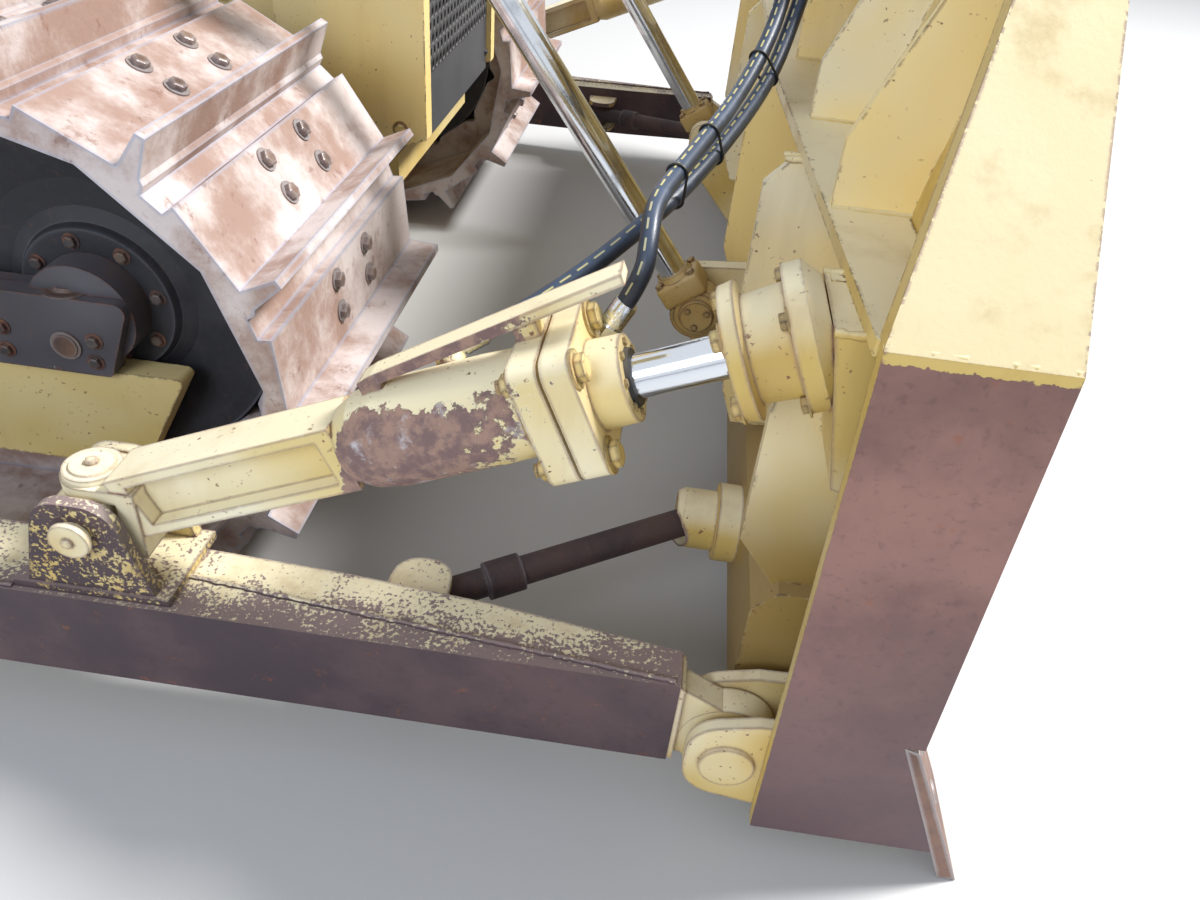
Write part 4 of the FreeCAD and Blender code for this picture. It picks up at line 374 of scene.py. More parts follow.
def rubbed(name, tones, bare_at, paint_left=0.25, lower_shade=0.0):
    """Smooth rust where bare_at(tree) is 1, with worn paint elsewhere; darker near the ground by lower_shade."""
    material, tree, shader = start_finish(name)
    mask = bare_at(tree)
    cloud = noise(tree, 3.2, 6.0, 0.62)
    grain = noise(tree, 60.0, 7.0, 0.7)
    rusty = mix(tree, step(tree, cloud, 0.36, 0.64), tones[0], tones[1])
    ember = maths(tree, "MULTIPLY", step(tree, noise(tree, 22.0, 6.0, 0.7), 0.60, 0.72), 0.55)
    rusty = mix(tree, ember, rusty, tint(150, 88, 58))
    rusty = mix(tree, maths(tree, "MULTIPLY", step(tree, grain, 0.52, 0.70), 0.35), rusty, DARK_RUST)
    dust = maths(tree, "MULTIPLY", step(tree, facing(tree, "Z"), 0.4, 0.9), 0.72)
    rusty = mix(tree, dust, rusty, tint(156, 138, 138))
    polished = maths(tree, "MULTIPLY", step(tree, facing(tree, "X"), 0.35, 0.55), 0.55)
    rusty = mix(tree, polished, rusty, tint(126, 116, 112))
    low = maths(tree, "SUBTRACT", 1.0, step(tree, height(tree, "Z"), 0.10, 0.85))
    rusty = mix(tree, maths(tree, "MULTIPLY", low, lower_shade), rusty, tint(84, 70, 78))
    speckle = noise(tree, 130.0, 5.0, 0.62)
    middle = noise(tree, 11.0, 5.0, 0.65)
    left = maths(tree, "ADD", maths(tree, "MULTIPLY", speckle, 0.62), maths(tree, "MULTIPLY", middle, 0.38))
    left = maths(tree, "SUBTRACT", left, maths(tree, "MULTIPLY", mask, 0.62 - 0.3 * paint_left))
    left = maths(tree, "SUBTRACT", left, maths(tree, "MULTIPLY", edge(tree, 0.012), 0.20))
    paint_on = step(tree, left, 0.30, 0.34)
    tone = mix(tree, step(tree, noise(tree, 1.7, 3.0), 0.36, 0.66), YELLOW, FADED_AND_SUNLIT)
    # Painted sunlight: paint on faces that look up turns towards the pale paint.
    tone = mix(tree, maths(tree, "MULTIPLY", step(tree, facing(tree, "Z"), 0.2, 0.9), 0.80), tone, BLEACHED_AND_SUNLIT)
    shaded = mix(tree, maths(tree, "MULTIPLY", step(tree, middle, 0.5, 0.75), 0.4), tone, DEEP)
    link(tree, mix(tree, paint_on, rusty, shaded), shader.inputs["Base Color"])
    link(tree, blend_value(tree, paint_on, 0.62, 0.46), shader.inputs["Roughness"])
    relief = maths(tree, "ADD", maths(tree, "MULTIPLY", paint_on, 0.5), maths(tree, "MULTIPLY", grain, 0.5))
    raise_by(tree, shader, relief, 0.0009)
    return material


def blade_bare(tree):
    """The end plates' outer faces under the fold, and the face that pushes the earth."""
    outward = step(tree, maths(tree, "ABSOLUTE", facing(tree, "Y")), 0.80, 0.90)
    under = maths(tree, "SUBTRACT", 1.0, step(tree, height(tree, "Z"), 0.975, 0.992))
    ends = maths(tree, "MULTIPLY", outward, under)
    front = step(tree, facing(tree, "X"), 0.35, 0.55)
    return maths(tree, "MAXIMUM", ends, front)


def arm_bare(tree):
    """The arms' sides, and more and more of their tops towards the outer edge."""
    sides = step(tree, maths(tree, "ABSOLUTE", facing(tree, "Y")), 0.70, 0.90)
    below_ears = maths(tree, "SUBTRACT", 1.0, step(tree, height(tree, "Z"), 0.330, 0.338))
    outer = step(tree, maths(tree, "ABSOLUTE", height(tree, "Y")), 1.560, 1.672)
    top = maths(tree, "ADD", maths(tree, "MULTIPLY", outer, 0.22), 0.20)
    return maths(tree, "MAXIMUM", maths(tree, "MULTIPLY", sides, below_ears), top)


coated("blade", rubbed("blade sheet", END_TONES, blade_bare, lower_shade=0.75))
arm_finish = rubbed("push arm", ARM_TONES, arm_bare, paint_left=0.2)
coated("push_arm_right", arm_finish)
coated("push_arm_left", arm_finish)
print("blade and arms finished")

# %% [markdown]
# Some pieces were never painted or lost it long ago. Track shoes are dry pinkish rust, scuffed to blue-grey
# on the grousers. The idler is nearly black, the brace tubes are dark rust, and cutting edges are worn bright.

# %% Bare and dark steel
def bare_steel(name, low, high, scuff, scuff_amount=0.4, stain=DARK_RUST, stain_amount=0.3, grain=38.0, metal=0.0,
               rough=0.72, depth=0.0014):
    material, tree, shader = start_finish(name)
    cloud = noise(tree, 5.0, 6.0, 0.65)
    fine = noise(tree, grain, 8.0, 0.75)
    streak = noise(tree, 12.0, 6.0, 0.7, stretch=(1.0, 0.35, 1.0))
    base = mix(tree, step(tree, cloud, 0.38, 0.62), low, high)
    rim = edge(tree, 0.014)
    rubbed_off = maths(tree, "ADD", maths(tree, "MULTIPLY", rim, 0.45), maths(tree, "MULTIPLY", streak, 0.6))
    rubbed_off = step(tree, rubbed_off, 0.62 - 0.3 * scuff_amount, 0.74 - 0.3 * scuff_amount)
    base = mix(tree, rubbed_off, base, scuff)
    stained = maths(tree, "MULTIPLY", step(tree, fine, 0.56, 0.68), stain_amount)
    base = mix(tree, stained, base, stain)
    link(tree, base, shader.inputs["Base Color"])
    link(tree, blend_value(tree, rubbed_off, rough, rough - 0.22), shader.inputs["Roughness"])
    shader.inputs["Metallic"].default_value = metal
    raise_by(tree, shader, fine, depth)
    return material


shoe_steel = bare_steel("track shoes", tint(158, 132, 122), tint(208, 198, 198), tint(160, 166, 186), 0.66,
                        stain=tint(122, 84, 68), stain_amount=0.60, grain=22.0, depth=0.0030)
for name in ("track_right", "track_left"):
    coated(name, shoe_steel)
coated("sprockets", bare_steel("sprocket steel", tint(92, 74, 66), tint(128, 106, 94), RAW_STEEL, 0.5))
wheel_steel = bare_steel("idler steel", tint(34, 35, 42), tint(52, 52, 58), tint(96, 98, 108), 0.22,
                         stain=tint(92, 62, 48), stain_amount=0.35, rough=0.6)
for name in ("idlers", "rollers"):
    coated(name, wheel_steel)
yoke_paint = painted("yoke paint", wear=0.5, rims=0.8, spots=0.3, grime=0.2, paint=tint(44, 44, 50), pale=tint(92, 90, 98))
for name in ("idler_yokes", "drawbar"):
    coated(name, yoke_paint)
tube_steel = bare_steel("brace tube", tint(52, 44, 50), tint(80, 62, 60), tint(120, 112, 118), 0.18, grain=70.0,
                        stain=tint(150, 120, 60), stain_amount=0.25)
for name in ("diagonal_brace_right", "diagonal_brace_left", "arm_rings"):
    coated(name, tube_steel)
edge_steel = bare_steel("cutting steel", tint(110, 84, 74), tint(142, 112, 98), tint(176, 174, 178), 0.65, metal=0.4,
                        rough=0.55)
for name in ("cutting_edge", "end_bits"):
    coated(name, edge_steel)
print("bare steel finished")

# %% [markdown]
# Cylinder rods are hard chrome: a metal shader with a low roughness and faint lengthwise scratches. The
# grille and the fenders are dark paint, the lamps and the filter bowl are plastic, and the glass is thin
# and slightly grey.

# %% Chrome, dark paint, plastic and glass
def chrome(name, turn):
    material, tree, shader = start_finish(name)
    lines = noise(tree, 160.0, 4.0, 0.7, stretch=(0.05, 1.0, 1.0), turn=turn)
    film = noise(tree, 14.0, 5.0, 0.6)
    dull = step(tree, film, 0.45, 0.75)
    link(tree, mix(tree, dull, tint(222, 226, 232), tint(176, 180, 188)), shader.inputs["Base Color"])
    gloss = maths(tree, "ADD", maths(tree, "MULTIPLY", dull, 0.20), maths(tree, "MULTIPLY", lines, 0.14))
    link(tree, maths(tree, "ADD", gloss, 0.06), shader.inputs["Roughness"])
    shader.inputs["Metallic"].default_value = 1.0
    raise_by(tree, shader, lines, 0.00008)
    return material


def moulded(name, colour, second, rough=0.5, grain=180.0, depth=0.0003):
    """Plastic or dark sheet metal with dust in its grain."""
    material, tree, shader = start_finish(name)
    cloud = noise(tree, 3.0, 5.0, 0.6)
    fine = noise(tree, grain, 3.0, 0.5)
    dust = maths(tree, "MULTIPLY", step(tree, facing(tree, "Z"), 0.3, 1.0), 0.3)
    base = mix(tree, step(tree, cloud, 0.4, 0.65), colour, second)
    link(tree, mix(tree, dust, base, tint(140, 132, 118)), shader.inputs["Base Color"])
    link(tree, maths(tree, "ADD", maths(tree, "MULTIPLY", fine, 0.16), rough - 0.06), shader.inputs["Roughness"])
    raise_by(tree, shader, fine, depth)
    return material


def glazing(name):
    material, tree, shader = start_finish(name)
    film = step(tree, noise(tree, 2.4, 5.0, 0.6), 0.40, 0.75)
    link(tree, mix(tree, film, tint(214, 226, 224), tint(176, 184, 178)), shader.inputs["Base Color"])
    link(tree, blend_value(tree, film, 0.03, 0.16), shader.inputs["Roughness"])
    shader.inputs["Transmission Weight"].default_value = 0.92
    shader.inputs["IOR"].default_value = 1.15
    return material


for name in ("tilt_rod", "lift_rod_right", "lift_rod_left"):
    coated(name, chrome(name + " chrome", (0.0, 0.9 if name != "tilt_rod" else -0.4, 0.0)))
dark_paint = moulded("dark paint", tint(58, 60, 66), tint(72, 74, 80), rough=0.5)
for name in ("grille", "fenders", "handrails"):
    coated(name, dark_paint)
black_plastic = moulded("black plastic", tint(30, 30, 31), tint(44, 43, 43), rough=0.58)
for name in ("precleaner", "console", "lamps", "seat"):
    coated(name, black_plastic)
coated("radiator", moulded("radiator core", tint(26, 26, 27), tint(40, 40, 40), rough=0.7))
coated("engine", moulded("engine block", tint(92, 82, 58), tint(60, 55, 46), rough=0.65))
coated("exhaust_stack", bare_steel("stack steel", tint(66, 50, 44), tint(96, 68, 54), tint(120, 104, 96), 0.2))
glass = glazing("glass")
for name in ("cab_glass", "door_glass_right", "door_glass_left"):
    coated(name, glass)
print("all", len(nodes), "solids have a finish")

# %% [markdown]
# Bolts, pins and caps come next. One bmesh holds all the hardware of one body, since it moves as one. A
# bolt stands on a point and looks along a direction, so the same function serves on every face.

# %% Hardware helpers
def stand(point, way, spin=0.0):
    """Matrix that puts local +Z along way at a point."""
    turn = Vector(way).to_track_quat("Z", "Y").to_matrix().to_4x4()
    return Matrix.Translation(Vector(point)) @ turn @ Matrix.Rotation(spin, 4, "Z")


def disc(shape, point, way, radius, tall, sides=24, top=None, spin=0.0):
    """Round or many-sided solid that stands on a point."""
    seat = stand(point, way, spin) @ Matrix.Translation((0.0, 0.0, tall / 2.0))
    end = radius if top is None else top
    bmesh.ops.create_cone(shape, cap_ends=True, segments=sides, radius1=radius, radius2=end, depth=tall, matrix=seat)


def block(shape, point, way, size, spin=0.0, round_off=0.0):
    """Box of size (across, across, tall) that stands on a point, with rounded edges if asked."""
    seat = stand(point, way, spin) @ Matrix.Translation((0.0, 0.0, size[2] / 2.0)) @ Matrix.Diagonal((*size, 1.0))
    made = bmesh.ops.create_cube(shape, size=1.0, matrix=seat)
    if round_off > 0.0:
        rims = {rim for corner in made["verts"] for rim in corner.link_edges}
        bmesh.ops.bevel(shape, geom=list(rims), offset=round_off, segments=3, profile=0.5, affect="EDGES")


def bolt(shape, point, way, radius, spin=0.3, washer=True):
    """Hexagon head, on a washer where there is one."""
    way = Vector(way).normalized()
    point = Vector(point) - way * 0.0005
    if washer:
        disc(shape, point, way, radius * 1.40, radius * 0.22, sides=20)
        point = point + way * radius * 0.22
    disc(shape, point, way, radius, radius * 0.62, sides=6, spin=spin)
    disc(shape, point + way * radius * 0.62, way, radius * 0.97, radius * 0.10, sides=6, top=radius * 0.80, spin=spin)


def piece(name, shape, material, body, sharp=32.0):
    """Turns a bmesh into a piece of the machine that rides with a body."""
    bmesh.ops.recalc_face_normals(shape, faces=shape.faces)
    data = bpy.data.meshes.new(name)
    shape.to_mesh(data)
    shape.free()
    data.polygons.foreach_set("use_smooth", [True] * len(data.polygons))
    data.set_sharp_from_angle(angle=math.radians(sharp))
    data.materials.append(material)
    made = bpy.data.objects.new(name, data)
    scene.collection.objects.link(made)
    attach(made, body)
    return made


def surface(node_name, start, way):
    """Point and direction of a solid's face that a straight look from start meets."""
    if node_name not in surface.trees:
        surface.trees[node_name] = BVHTree.FromObject(nodes[node_name], bpy.context.evaluated_depsgraph_get())
    hit, normal, _, _ = surface.trees[node_name].ray_cast(Vector(start), Vector(way).normalized())
    return hit, normal


surface.trees = {}
SIDES = (("right", -1.0), ("left", 1.0))
bolt_steel = bare_steel("bolt steel", tint(92, 70, 62), tint(136, 112, 98), tint(168, 164, 168), 0.45, grain=120.0,
                        stain=tint(70, 44, 36), stain_amount=0.5, metal=0.3, rough=0.55, depth=0.0006)
painted_bolt = painted("painted bolts", wear=0.62, rims=1.0, spots=0.4, grime=0.3, size=3.0)
dark_bolt = painted("dark bolts", wear=0.6, rims=0.9, spots=0.3, grime=0.3, paint=tint(46, 46, 52),
                    pale=tint(120, 112, 104), size=3.0)
print("hardware helpers ready")

# %% [markdown]
# Four bolts hold each shoe to its link. The shoes lie round the idler, along the ground, round the sprocket
# and back, so each link's place comes from how many links it lies from the idler's top.

# %% Shoe bolts
LINKS = 42
PITCH = 0.2032
LINK_TURN = math.radians(28.8)
FIRST_LINK = 0.465
IDLER = Vector((1.000, 0.0, 0.5585))
WRAP = PITCH / 2.0 / math.sin(LINK_TURN / 2.0)
ROUND_LINKS = math.pi / LINK_TURN
STRAIGHT_LINKS = LINKS / 2.0 - ROUND_LINKS
SPROCKET = IDLER - Vector((STRAIGHT_LINKS * PITCH, 0.0, 0.0))
GAUGE = 1.025
SHOE_FACE = 0.085


def link_pin(links):
    """Place of a link's pin in the track's plane."""
    links = links % LINKS
    if links < ROUND_LINKS:
        angle = math.pi / 2.0 - links * LINK_TURN
        return IDLER + Vector((math.cos(angle), 0.0, math.sin(angle))) * WRAP
    links -= ROUND_LINKS
    if links < STRAIGHT_LINKS:
        return IDLER + Vector((-links * PITCH, 0.0, -WRAP))
    links -= STRAIGHT_LINKS
    if links < ROUND_LINKS:
        angle = -math.pi / 2.0 - links * LINK_TURN
        return SPROCKET + Vector((math.cos(angle), 0.0, math.sin(angle))) * WRAP
    links -= ROUND_LINKS
    return SPROCKET + Vector((links * PITCH, 0.0, WRAP))


for side_name, side in SIDES:
    shape = bmesh.new()
    for i in range(LINKS):
        first = link_pin(FIRST_LINK + i)
        last = link_pin(FIRST_LINK + i + 1)
        along = (last - first).normalized()
        out = Vector((-along.z, 0.0, along.x))
        middle = (first + last) / 2.0
        for step_along in (-0.066, 0.000):
            for step_across in (-0.084, 0.084):
                seat = middle + along * step_along + out * SHOE_FACE
                seat.y = side * GAUGE + step_across
                bolt(shape, seat, out, 0.0155, spin=i * 0.9 + step_across * 7.0)
    piece("shoe_bolts_" + side_name, shape, bolt_steel, "chassis")
print("shoe bolts on", LINKS, "shoes a side")

# %% [markdown]
# The idler's yoke has two bolts, an open recess and a round cap at its front end. Bolts run along the side
# of the track frame below it, and the idler and sprocket hubs show their bolts.

# %% Yoke and track frame hardware
YOKE_FACE = 1.215
YOKE_HEAD = 0.6055
shape = bmesh.new()
rings = bmesh.new()
for side_name, side in SIDES:
    out = Vector((0.0, side, 0.0))
    for x, z in ((1.027, 0.520), (1.020, 0.473), (0.846, 0.526), (0.843, 0.476)):
        bolt(shape, (x, side * YOKE_FACE, z), out, 0.0125)
    for radius, tall in ((0.030, 0.004), (0.024, 0.007)):
        disc(rings, (0.968, side * YOKE_FACE, 0.503), out, radius, tall, sides=32)
    disc(rings, (0.975, side * 1.176, YOKE_HEAD), (0, 0, 1), 0.046, 0.003, sides=36)
    disc(rings, (0.975, side * 1.176, YOKE_HEAD + 0.003), (0, 0, 1), 0.026, 0.006, sides=32, top=0.022)
    disc(rings, (0.985, side * 1.176, YOKE_HEAD + 0.009), (0, 0, 1), 0.009, 0.005, sides=6)
    for x, z in ((0.30, 0.50), (0.06, 0.50), (-0.24, 0.50), (-0.48, 0.50), (-0.98, 0.50), (-1.24, 0.50)):
        hit, normal = surface("track_frames", (x, side * 1.6, z), (0, -side, 0))
        if hit is not None:
            bolt(shape, hit, normal, 0.013)
piece("yoke_bolts", shape, dark_bolt, "chassis")
piece("yoke_caps", rings, bare_steel("cap rust", tint(78, 60, 54), tint(112, 84, 68), tint(132, 124, 122), 0.35, grain=60.0,
                                     stain=tint(60, 44, 40), stain_amount=0.5), "chassis")
shape = bmesh.new()
for side_name, side in SIDES:
    for wheel, radius, count in ((IDLER, 0.126, 8), (SPROCKET, 0.200, 12)):
        for k in range(count):
            angle = 2.0 * math.pi * k / count + 0.2
            spot = wheel + Vector((math.cos(angle) * radius, 0.0, math.sin(angle) * radius))
            name = "idlers" if wheel is IDLER else "sprockets"
            hit, normal = surface(name, (spot.x, side * 1.60, spot.z), (0, -side, 0))
            if hit is not None and abs(normal.y) > 0.6:
                bolt(shape, hit, (0, side, 0), 0.012)
piece("wheel_bolts", shape, dark_bolt, "chassis")
print("yoke and frame hardware placed")

# %% [markdown]
# The braces over the push arms carry the heaviest bolts. Places on a brace are given along its line from the
# fork and up from it, which keeps the numbers simple although the brace leans.

# %% Brace hardware
FORK = Vector((1.233, -1.580, 0.460))
BALL = Vector((2.235, -1.580, 0.905))
BRACE_WAY = (BALL - FORK).normalized()
BRACE_UP = Vector((-BRACE_WAY.z, 0.0, BRACE_WAY.x))
COVER_FACE = 0.856
FLANGE_BACK = 0.770


def on_brace(along, up, across, side=-1.0):
    """Place on a brace; across is measured away from the machine's middle."""
    base = Vector((FORK.x, side * (1.580 + across), FORK.z))
    return base + BRACE_WAY * along + BRACE_UP * up


shape = bmesh.new()
for across in (-0.070, 0.070):
    for up in (-0.070, 0.070):
        bolt(shape, on_brace(COVER_FACE, up, across), BRACE_WAY, 0.0195, spin=up * 9.0)
        bolt(shape, on_brace(FLANGE_BACK, up, across), -BRACE_WAY, 0.0165, spin=across * 9.0)
        disc(shape, on_brace(FLANGE_BACK - 0.022, up, across), BRACE_WAY, 0.010, 0.020, sides=16)
for k in range(8):
    angle = math.pi * (k + 0.5) / 4.0
    bolt(shape, on_brace(COVER_FACE + 0.049, 0.050 * math.sin(angle), 0.050 * math.cos(angle)), BRACE_WAY, 0.0065,
         washer=False)
piece("tilt_barrel_bolts", shape, painted_bolt, "tilt_barrel")
seal = bmesh.new()
disc(seal, on_brace(COVER_FACE + 0.049, 0.0, 0.0), BRACE_WAY, 0.043, 0.006, sides=48, top=0.040)
piece("rod_seal", seal, moulded("seal rubber", tint(26, 26, 27), tint(44, 42, 40), rough=0.5), "tilt_barrel")

for side_name, side in SIDES:
    shape = bmesh.new()
    for k in range(4):
        angle = math.pi * (k + 0.5) / 2.0
        near = on_brace(0.0, 0.073 * math.sin(angle), 0.073 * math.cos(angle), side)
        far = on_brace(0.0, 0.088 * math.sin(angle), 0.088 * math.cos(angle), side)
        reach = (BALL - FORK).length
        bolt(shape, near + BRACE_WAY * (reach - 0.052), -BRACE_WAY, 0.0165, spin=k * 0.5)
        bolt(shape, far + BRACE_WAY * (reach + 0.032), -BRACE_WAY, 0.0125, spin=k * 0.7)
    piece("brace_cap_bolts_" + side_name, shape, painted_bolt, "blade")
    shape = bmesh.new()
    head = Vector((FORK.x, side * 1.580, 0.5235))
    disc(shape, head, (0, 0, 1), 0.0460, 0.0120, sides=48, top=0.0450)
    disc(shape, head + Vector((0, 0, 0.0120)), (0, 0, 1), 0.0360, 0.0035, sides=48, top=0.0340)
    bolt(shape, head + Vector((0, 0, 0.0155)), (0, 0, 1), 0.0105, washer=False)
    for end in (-1.0, 1.0):
        hub = Vector((FORK.x, side * 1.580 + end * 0.095, FORK.z))
        disc(shape, hub, (0, end, 0), 0.0340, 0.0080, sides=40, top=0.0320)
        bolt(shape, hub + Vector((0, end * 0.0080, 0)), (0, end, 0), 0.0095, washer=False)
    piece("brace_pin_heads_" + side_name, shape, brace_paint, "cross_" + side_name)
print("brace hardware placed")

# %% [markdown]
# Each lift cylinder's rod ends in a cast bearing cap that turns on a pin at the blade. The cap is a round
# housing with a rounded block that is bolted round the rod, rusty orange where the paint has gone.

# %% Rod ends
LIFT_EYE = Vector((2.176, 0.0, 0.469))
LIFT_PIVOT = Vector((1.330, 0.0, 1.578))
LIFT_WAY = (LIFT_EYE - LIFT_PIVOT).normalized()
cast_rust = painted("cast rod end", wear=0.62, rims=0.9, spots=0.6, grime=0.6, paint=tint(176, 146, 84),
                    pale=tint(190, 166, 116), size=1.6)
for side_name, side in SIDES:
    eye = LIFT_EYE + Vector((0.0, side * 0.660, 0.0))
    shape = bmesh.new()
    disc(shape, eye - Vector((0, 0.034, 0)), (0, 1, 0), 0.062, 0.068, sides=56)
    for start, radius, tall in ((0.034, 0.054, 0.005), (0.039, 0.040, 0.011)):
        disc(shape, eye + Vector((0, side * start, 0)), (0, side, 0), radius, tall, sides=48, top=radius - 0.002)
    disc(shape, eye - Vector((0, side * 0.034, 0)), (0, -side, 0), 0.030, 0.006, sides=36)
    block(shape, eye - LIFT_WAY * 0.040, -LIFT_WAY, (0.088, 0.108, 0.060), round_off=0.012)
    disc(shape, eye - LIFT_WAY * 0.098, -LIFT_WAY, 0.042, 0.014, sides=40, top=0.037)
    for across in (-0.031, 0.031):
        for up in (-0.040, 0.040):
            spot = eye - LIFT_WAY * 0.100 + Vector((LIFT_WAY.z, 0.0, -LIFT_WAY.x)) * up + Vector((0, across, 0))
            bolt(shape, spot, -LIFT_WAY, 0.0100, washer=False)
    for k in range(3):
        angle = 2.0 * math.pi * k / 3.0 + 0.5
        spot = eye + Vector((0.026 * math.cos(angle), side * 0.050, 0.026 * math.sin(angle)))
        bolt(shape, spot, (0, side, 0), 0.0070, washer=False)
    piece("rod_end_" + side_name, shape, cast_rust, "lift_rod_" + side_name)
print("rod ends placed")

# %% [markdown]
# Weld beads run where plates meet. A bead is a row of points a few millimetres apart whose thickness
# changes from point to point, and that gives the rippled look of hand welding.

# %% Weld beads
ripple = random.Random(7)


def bead_row(curve, start, end, radius=1.0, gap=0.0075):
    """One more bead on a curve; radius is a share of the curve's own thickness."""
    start, end = Vector(start), Vector(end)
    count = max(3, int((end - start).length / gap))
    spline = curve.splines.new("POLY")
    spline.points.add(count)
    for i, point in enumerate(spline.points):
        spot = start.lerp(end, i / count)
        wander = Vector((ripple.uniform(-1, 1), ripple.uniform(-1, 1), ripple.uniform(-1, 1))) * 0.0008
        point.co = (*(spot + wander), 1.0)
        point.radius = radius * ripple.uniform(0.75, 1.25)


def bead_set(name, rows, material, body, depth=0.0055):
    curve = bpy.data.curves.new(name, "CURVE")
    curve.dimensions = "3D"
    curve.bevel_depth = depth
    curve.bevel_resolution = 1
    curve.use_fill_caps = True
    for start, end in rows:
        bead_row(curve, start, end)
    curve.materials.append(material)
    made = bpy.data.objects.new(name, curve)
    scene.collection.objects.link(made)
    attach(made, body)
    return made


bead_paint = painted("bead paint", wear=0.30, rims=0.3, spots=0.5, grime=0.5, pale=tint(232, 220, 180), size=2.0)
FOLD = 1.000
BACK = 2.334
SHELF_LOW = 0.978
rows = []
for y in (-1.31, -0.88, -0.44, 0.0, 0.44, 0.88, 1.31):
    for edge_y in (y - 0.009, y + 0.009):
        hit, _ = surface("blade", (2.25, edge_y, FOLD + 0.06), (1, 0, 0))
        wall = hit.x if hit is not None else 2.43
        rows.append(((2.313, edge_y, FOLD), (wall, edge_y, FOLD)))
        hit, _ = surface("blade", (2.25, edge_y, FOLD + 0.30), (1, 0, 0))
        top = hit.x if hit is not None else 2.47
        rows.append(((wall, edge_y, FOLD + 0.004), (top, edge_y, FOLD + 0.345)))
for y in (-1.05, -0.35, 0.35, 1.05):
    for edge_y in (y - 0.011, y + 0.011):
        rows.append(((2.262, edge_y, SHELF_LOW), (2.400, edge_y, SHELF_LOW)))
        rows.append(((2.302, edge_y, 0.440), (2.400, edge_y, 0.440)))
for side in (-1.0, 1.0):
    rows.append(((BACK, side * 1.7275, FOLD), (2.555, side * 1.7275, FOLD)))
    rows.append(((2.292, side * 1.496, SHELF_LOW), (2.400, side * 1.496, SHELF_LOW)))
    rows.append(((2.292, side * 1.664, SHELF_LOW), (2.400, side * 1.664, SHELF_LOW)))
bead_set("blade_beads", rows, bead_paint, "blade")
for side_name, side in SIDES:
    rows = [((1.345, side * 1.596, 0.331), (2.190, side * 1.672, 0.331)), ((-0.30, side * 1.672, 0.331), (1.10, side * 1.672, 0.331))]
    bead_set("arm_beads_" + side_name, rows, arm_finish, "arm_" + side_name)
print("weld beads laid")

# %% [markdown]
# Two hoses feed the tilt cylinder. They leave their ports through crimped steel sleeves, climb together over
# the brace and run along the back of the blade into the cover. Each hose is one smooth curve through its
# listed points, with a pale dashed line printed along it and cable ties that hold the two together.

# %% Tilt hoses
HOSE_RADIUS = 0.014
FRONT_HOSE = [(778, 80, 383), (823, 90, 467), (824, 125, 512), (823, 190, 540), (859, 320, 554), (931, 540, 594),
              (979, 700, 657), (1000, 800, 717), (1015, 890, 786)]
REAR_HOSE = [(557, 72, 326), (629, 110, 362), (734, 160, 433), (801, 218, 482), (855, 298, 514), (918, 458, 545),
             (989, 655, 601), (1023, 786, 676), (1043, 871, 744)]


def hose_rubber(name):
    material, tree, shader = start_finish(name)
    weave = noise(tree, 520.0, 2.0, 0.5)
    dust = step(tree, noise(tree, 9.0, 6.0, 0.7), 0.46, 0.74)
    # Painted sky reflection: the rubber is drawn blue-black and its upper side turns pale blue; dusty patches turn the
    # same pale blue.
    high = maths(tree, "MULTIPLY", step(tree, facing(tree, "Z"), 0.2, 1.0), 0.40)
    amount = maths(tree, "ADD", maths(tree, "MULTIPLY", dust, 0.35), high)
    link(tree, mix(tree, amount, tint(30, 38, 52), tint(88, 108, 140)), shader.inputs["Base Color"])
    link(tree, maths(tree, "ADD", maths(tree, "MULTIPLY", dust, 0.22), 0.34), shader.inputs["Roughness"])
    raise_by(tree, shader, weave, 0.0003)
    return material


def hose_line(route):
    """NURBS curve through a hose's points, counted from the brace's fork in millimetres."""
    curve = bpy.data.curves.new("hose", "CURVE")
    curve.dimensions = "3D"
    curve.resolution_u = 10
    spline = curve.splines.new("NURBS")
    spline.points.add(len(route) - 1)
    for point, offset in zip(spline.points, route):
        point.co = (*(FORK + Vector(offset) / 1000.0), 1.0)
    spline.order_u = 3
    spline.use_endpoint_u = True
    return curve


def walked(curve, gap):
    """Places and directions along a curve, gap metres apart."""
    guide = bpy.data.objects.new("guide", curve)
    mesh = guide.to_mesh()
    line = [vertex.co.copy() for vertex in mesh.vertices]
    guide.to_mesh_clear()
    bpy.data.objects.remove(guide)
    spots = []
    left = gap
    for a, b in zip(line, line[1:]):
        span = (b - a).length
        done = 0.0
        while span - done >= left:
            done += left
            spots.append((a.lerp(b, done / span), (b - a).normalized()))
            left = gap
        left -= span - done
    return spots


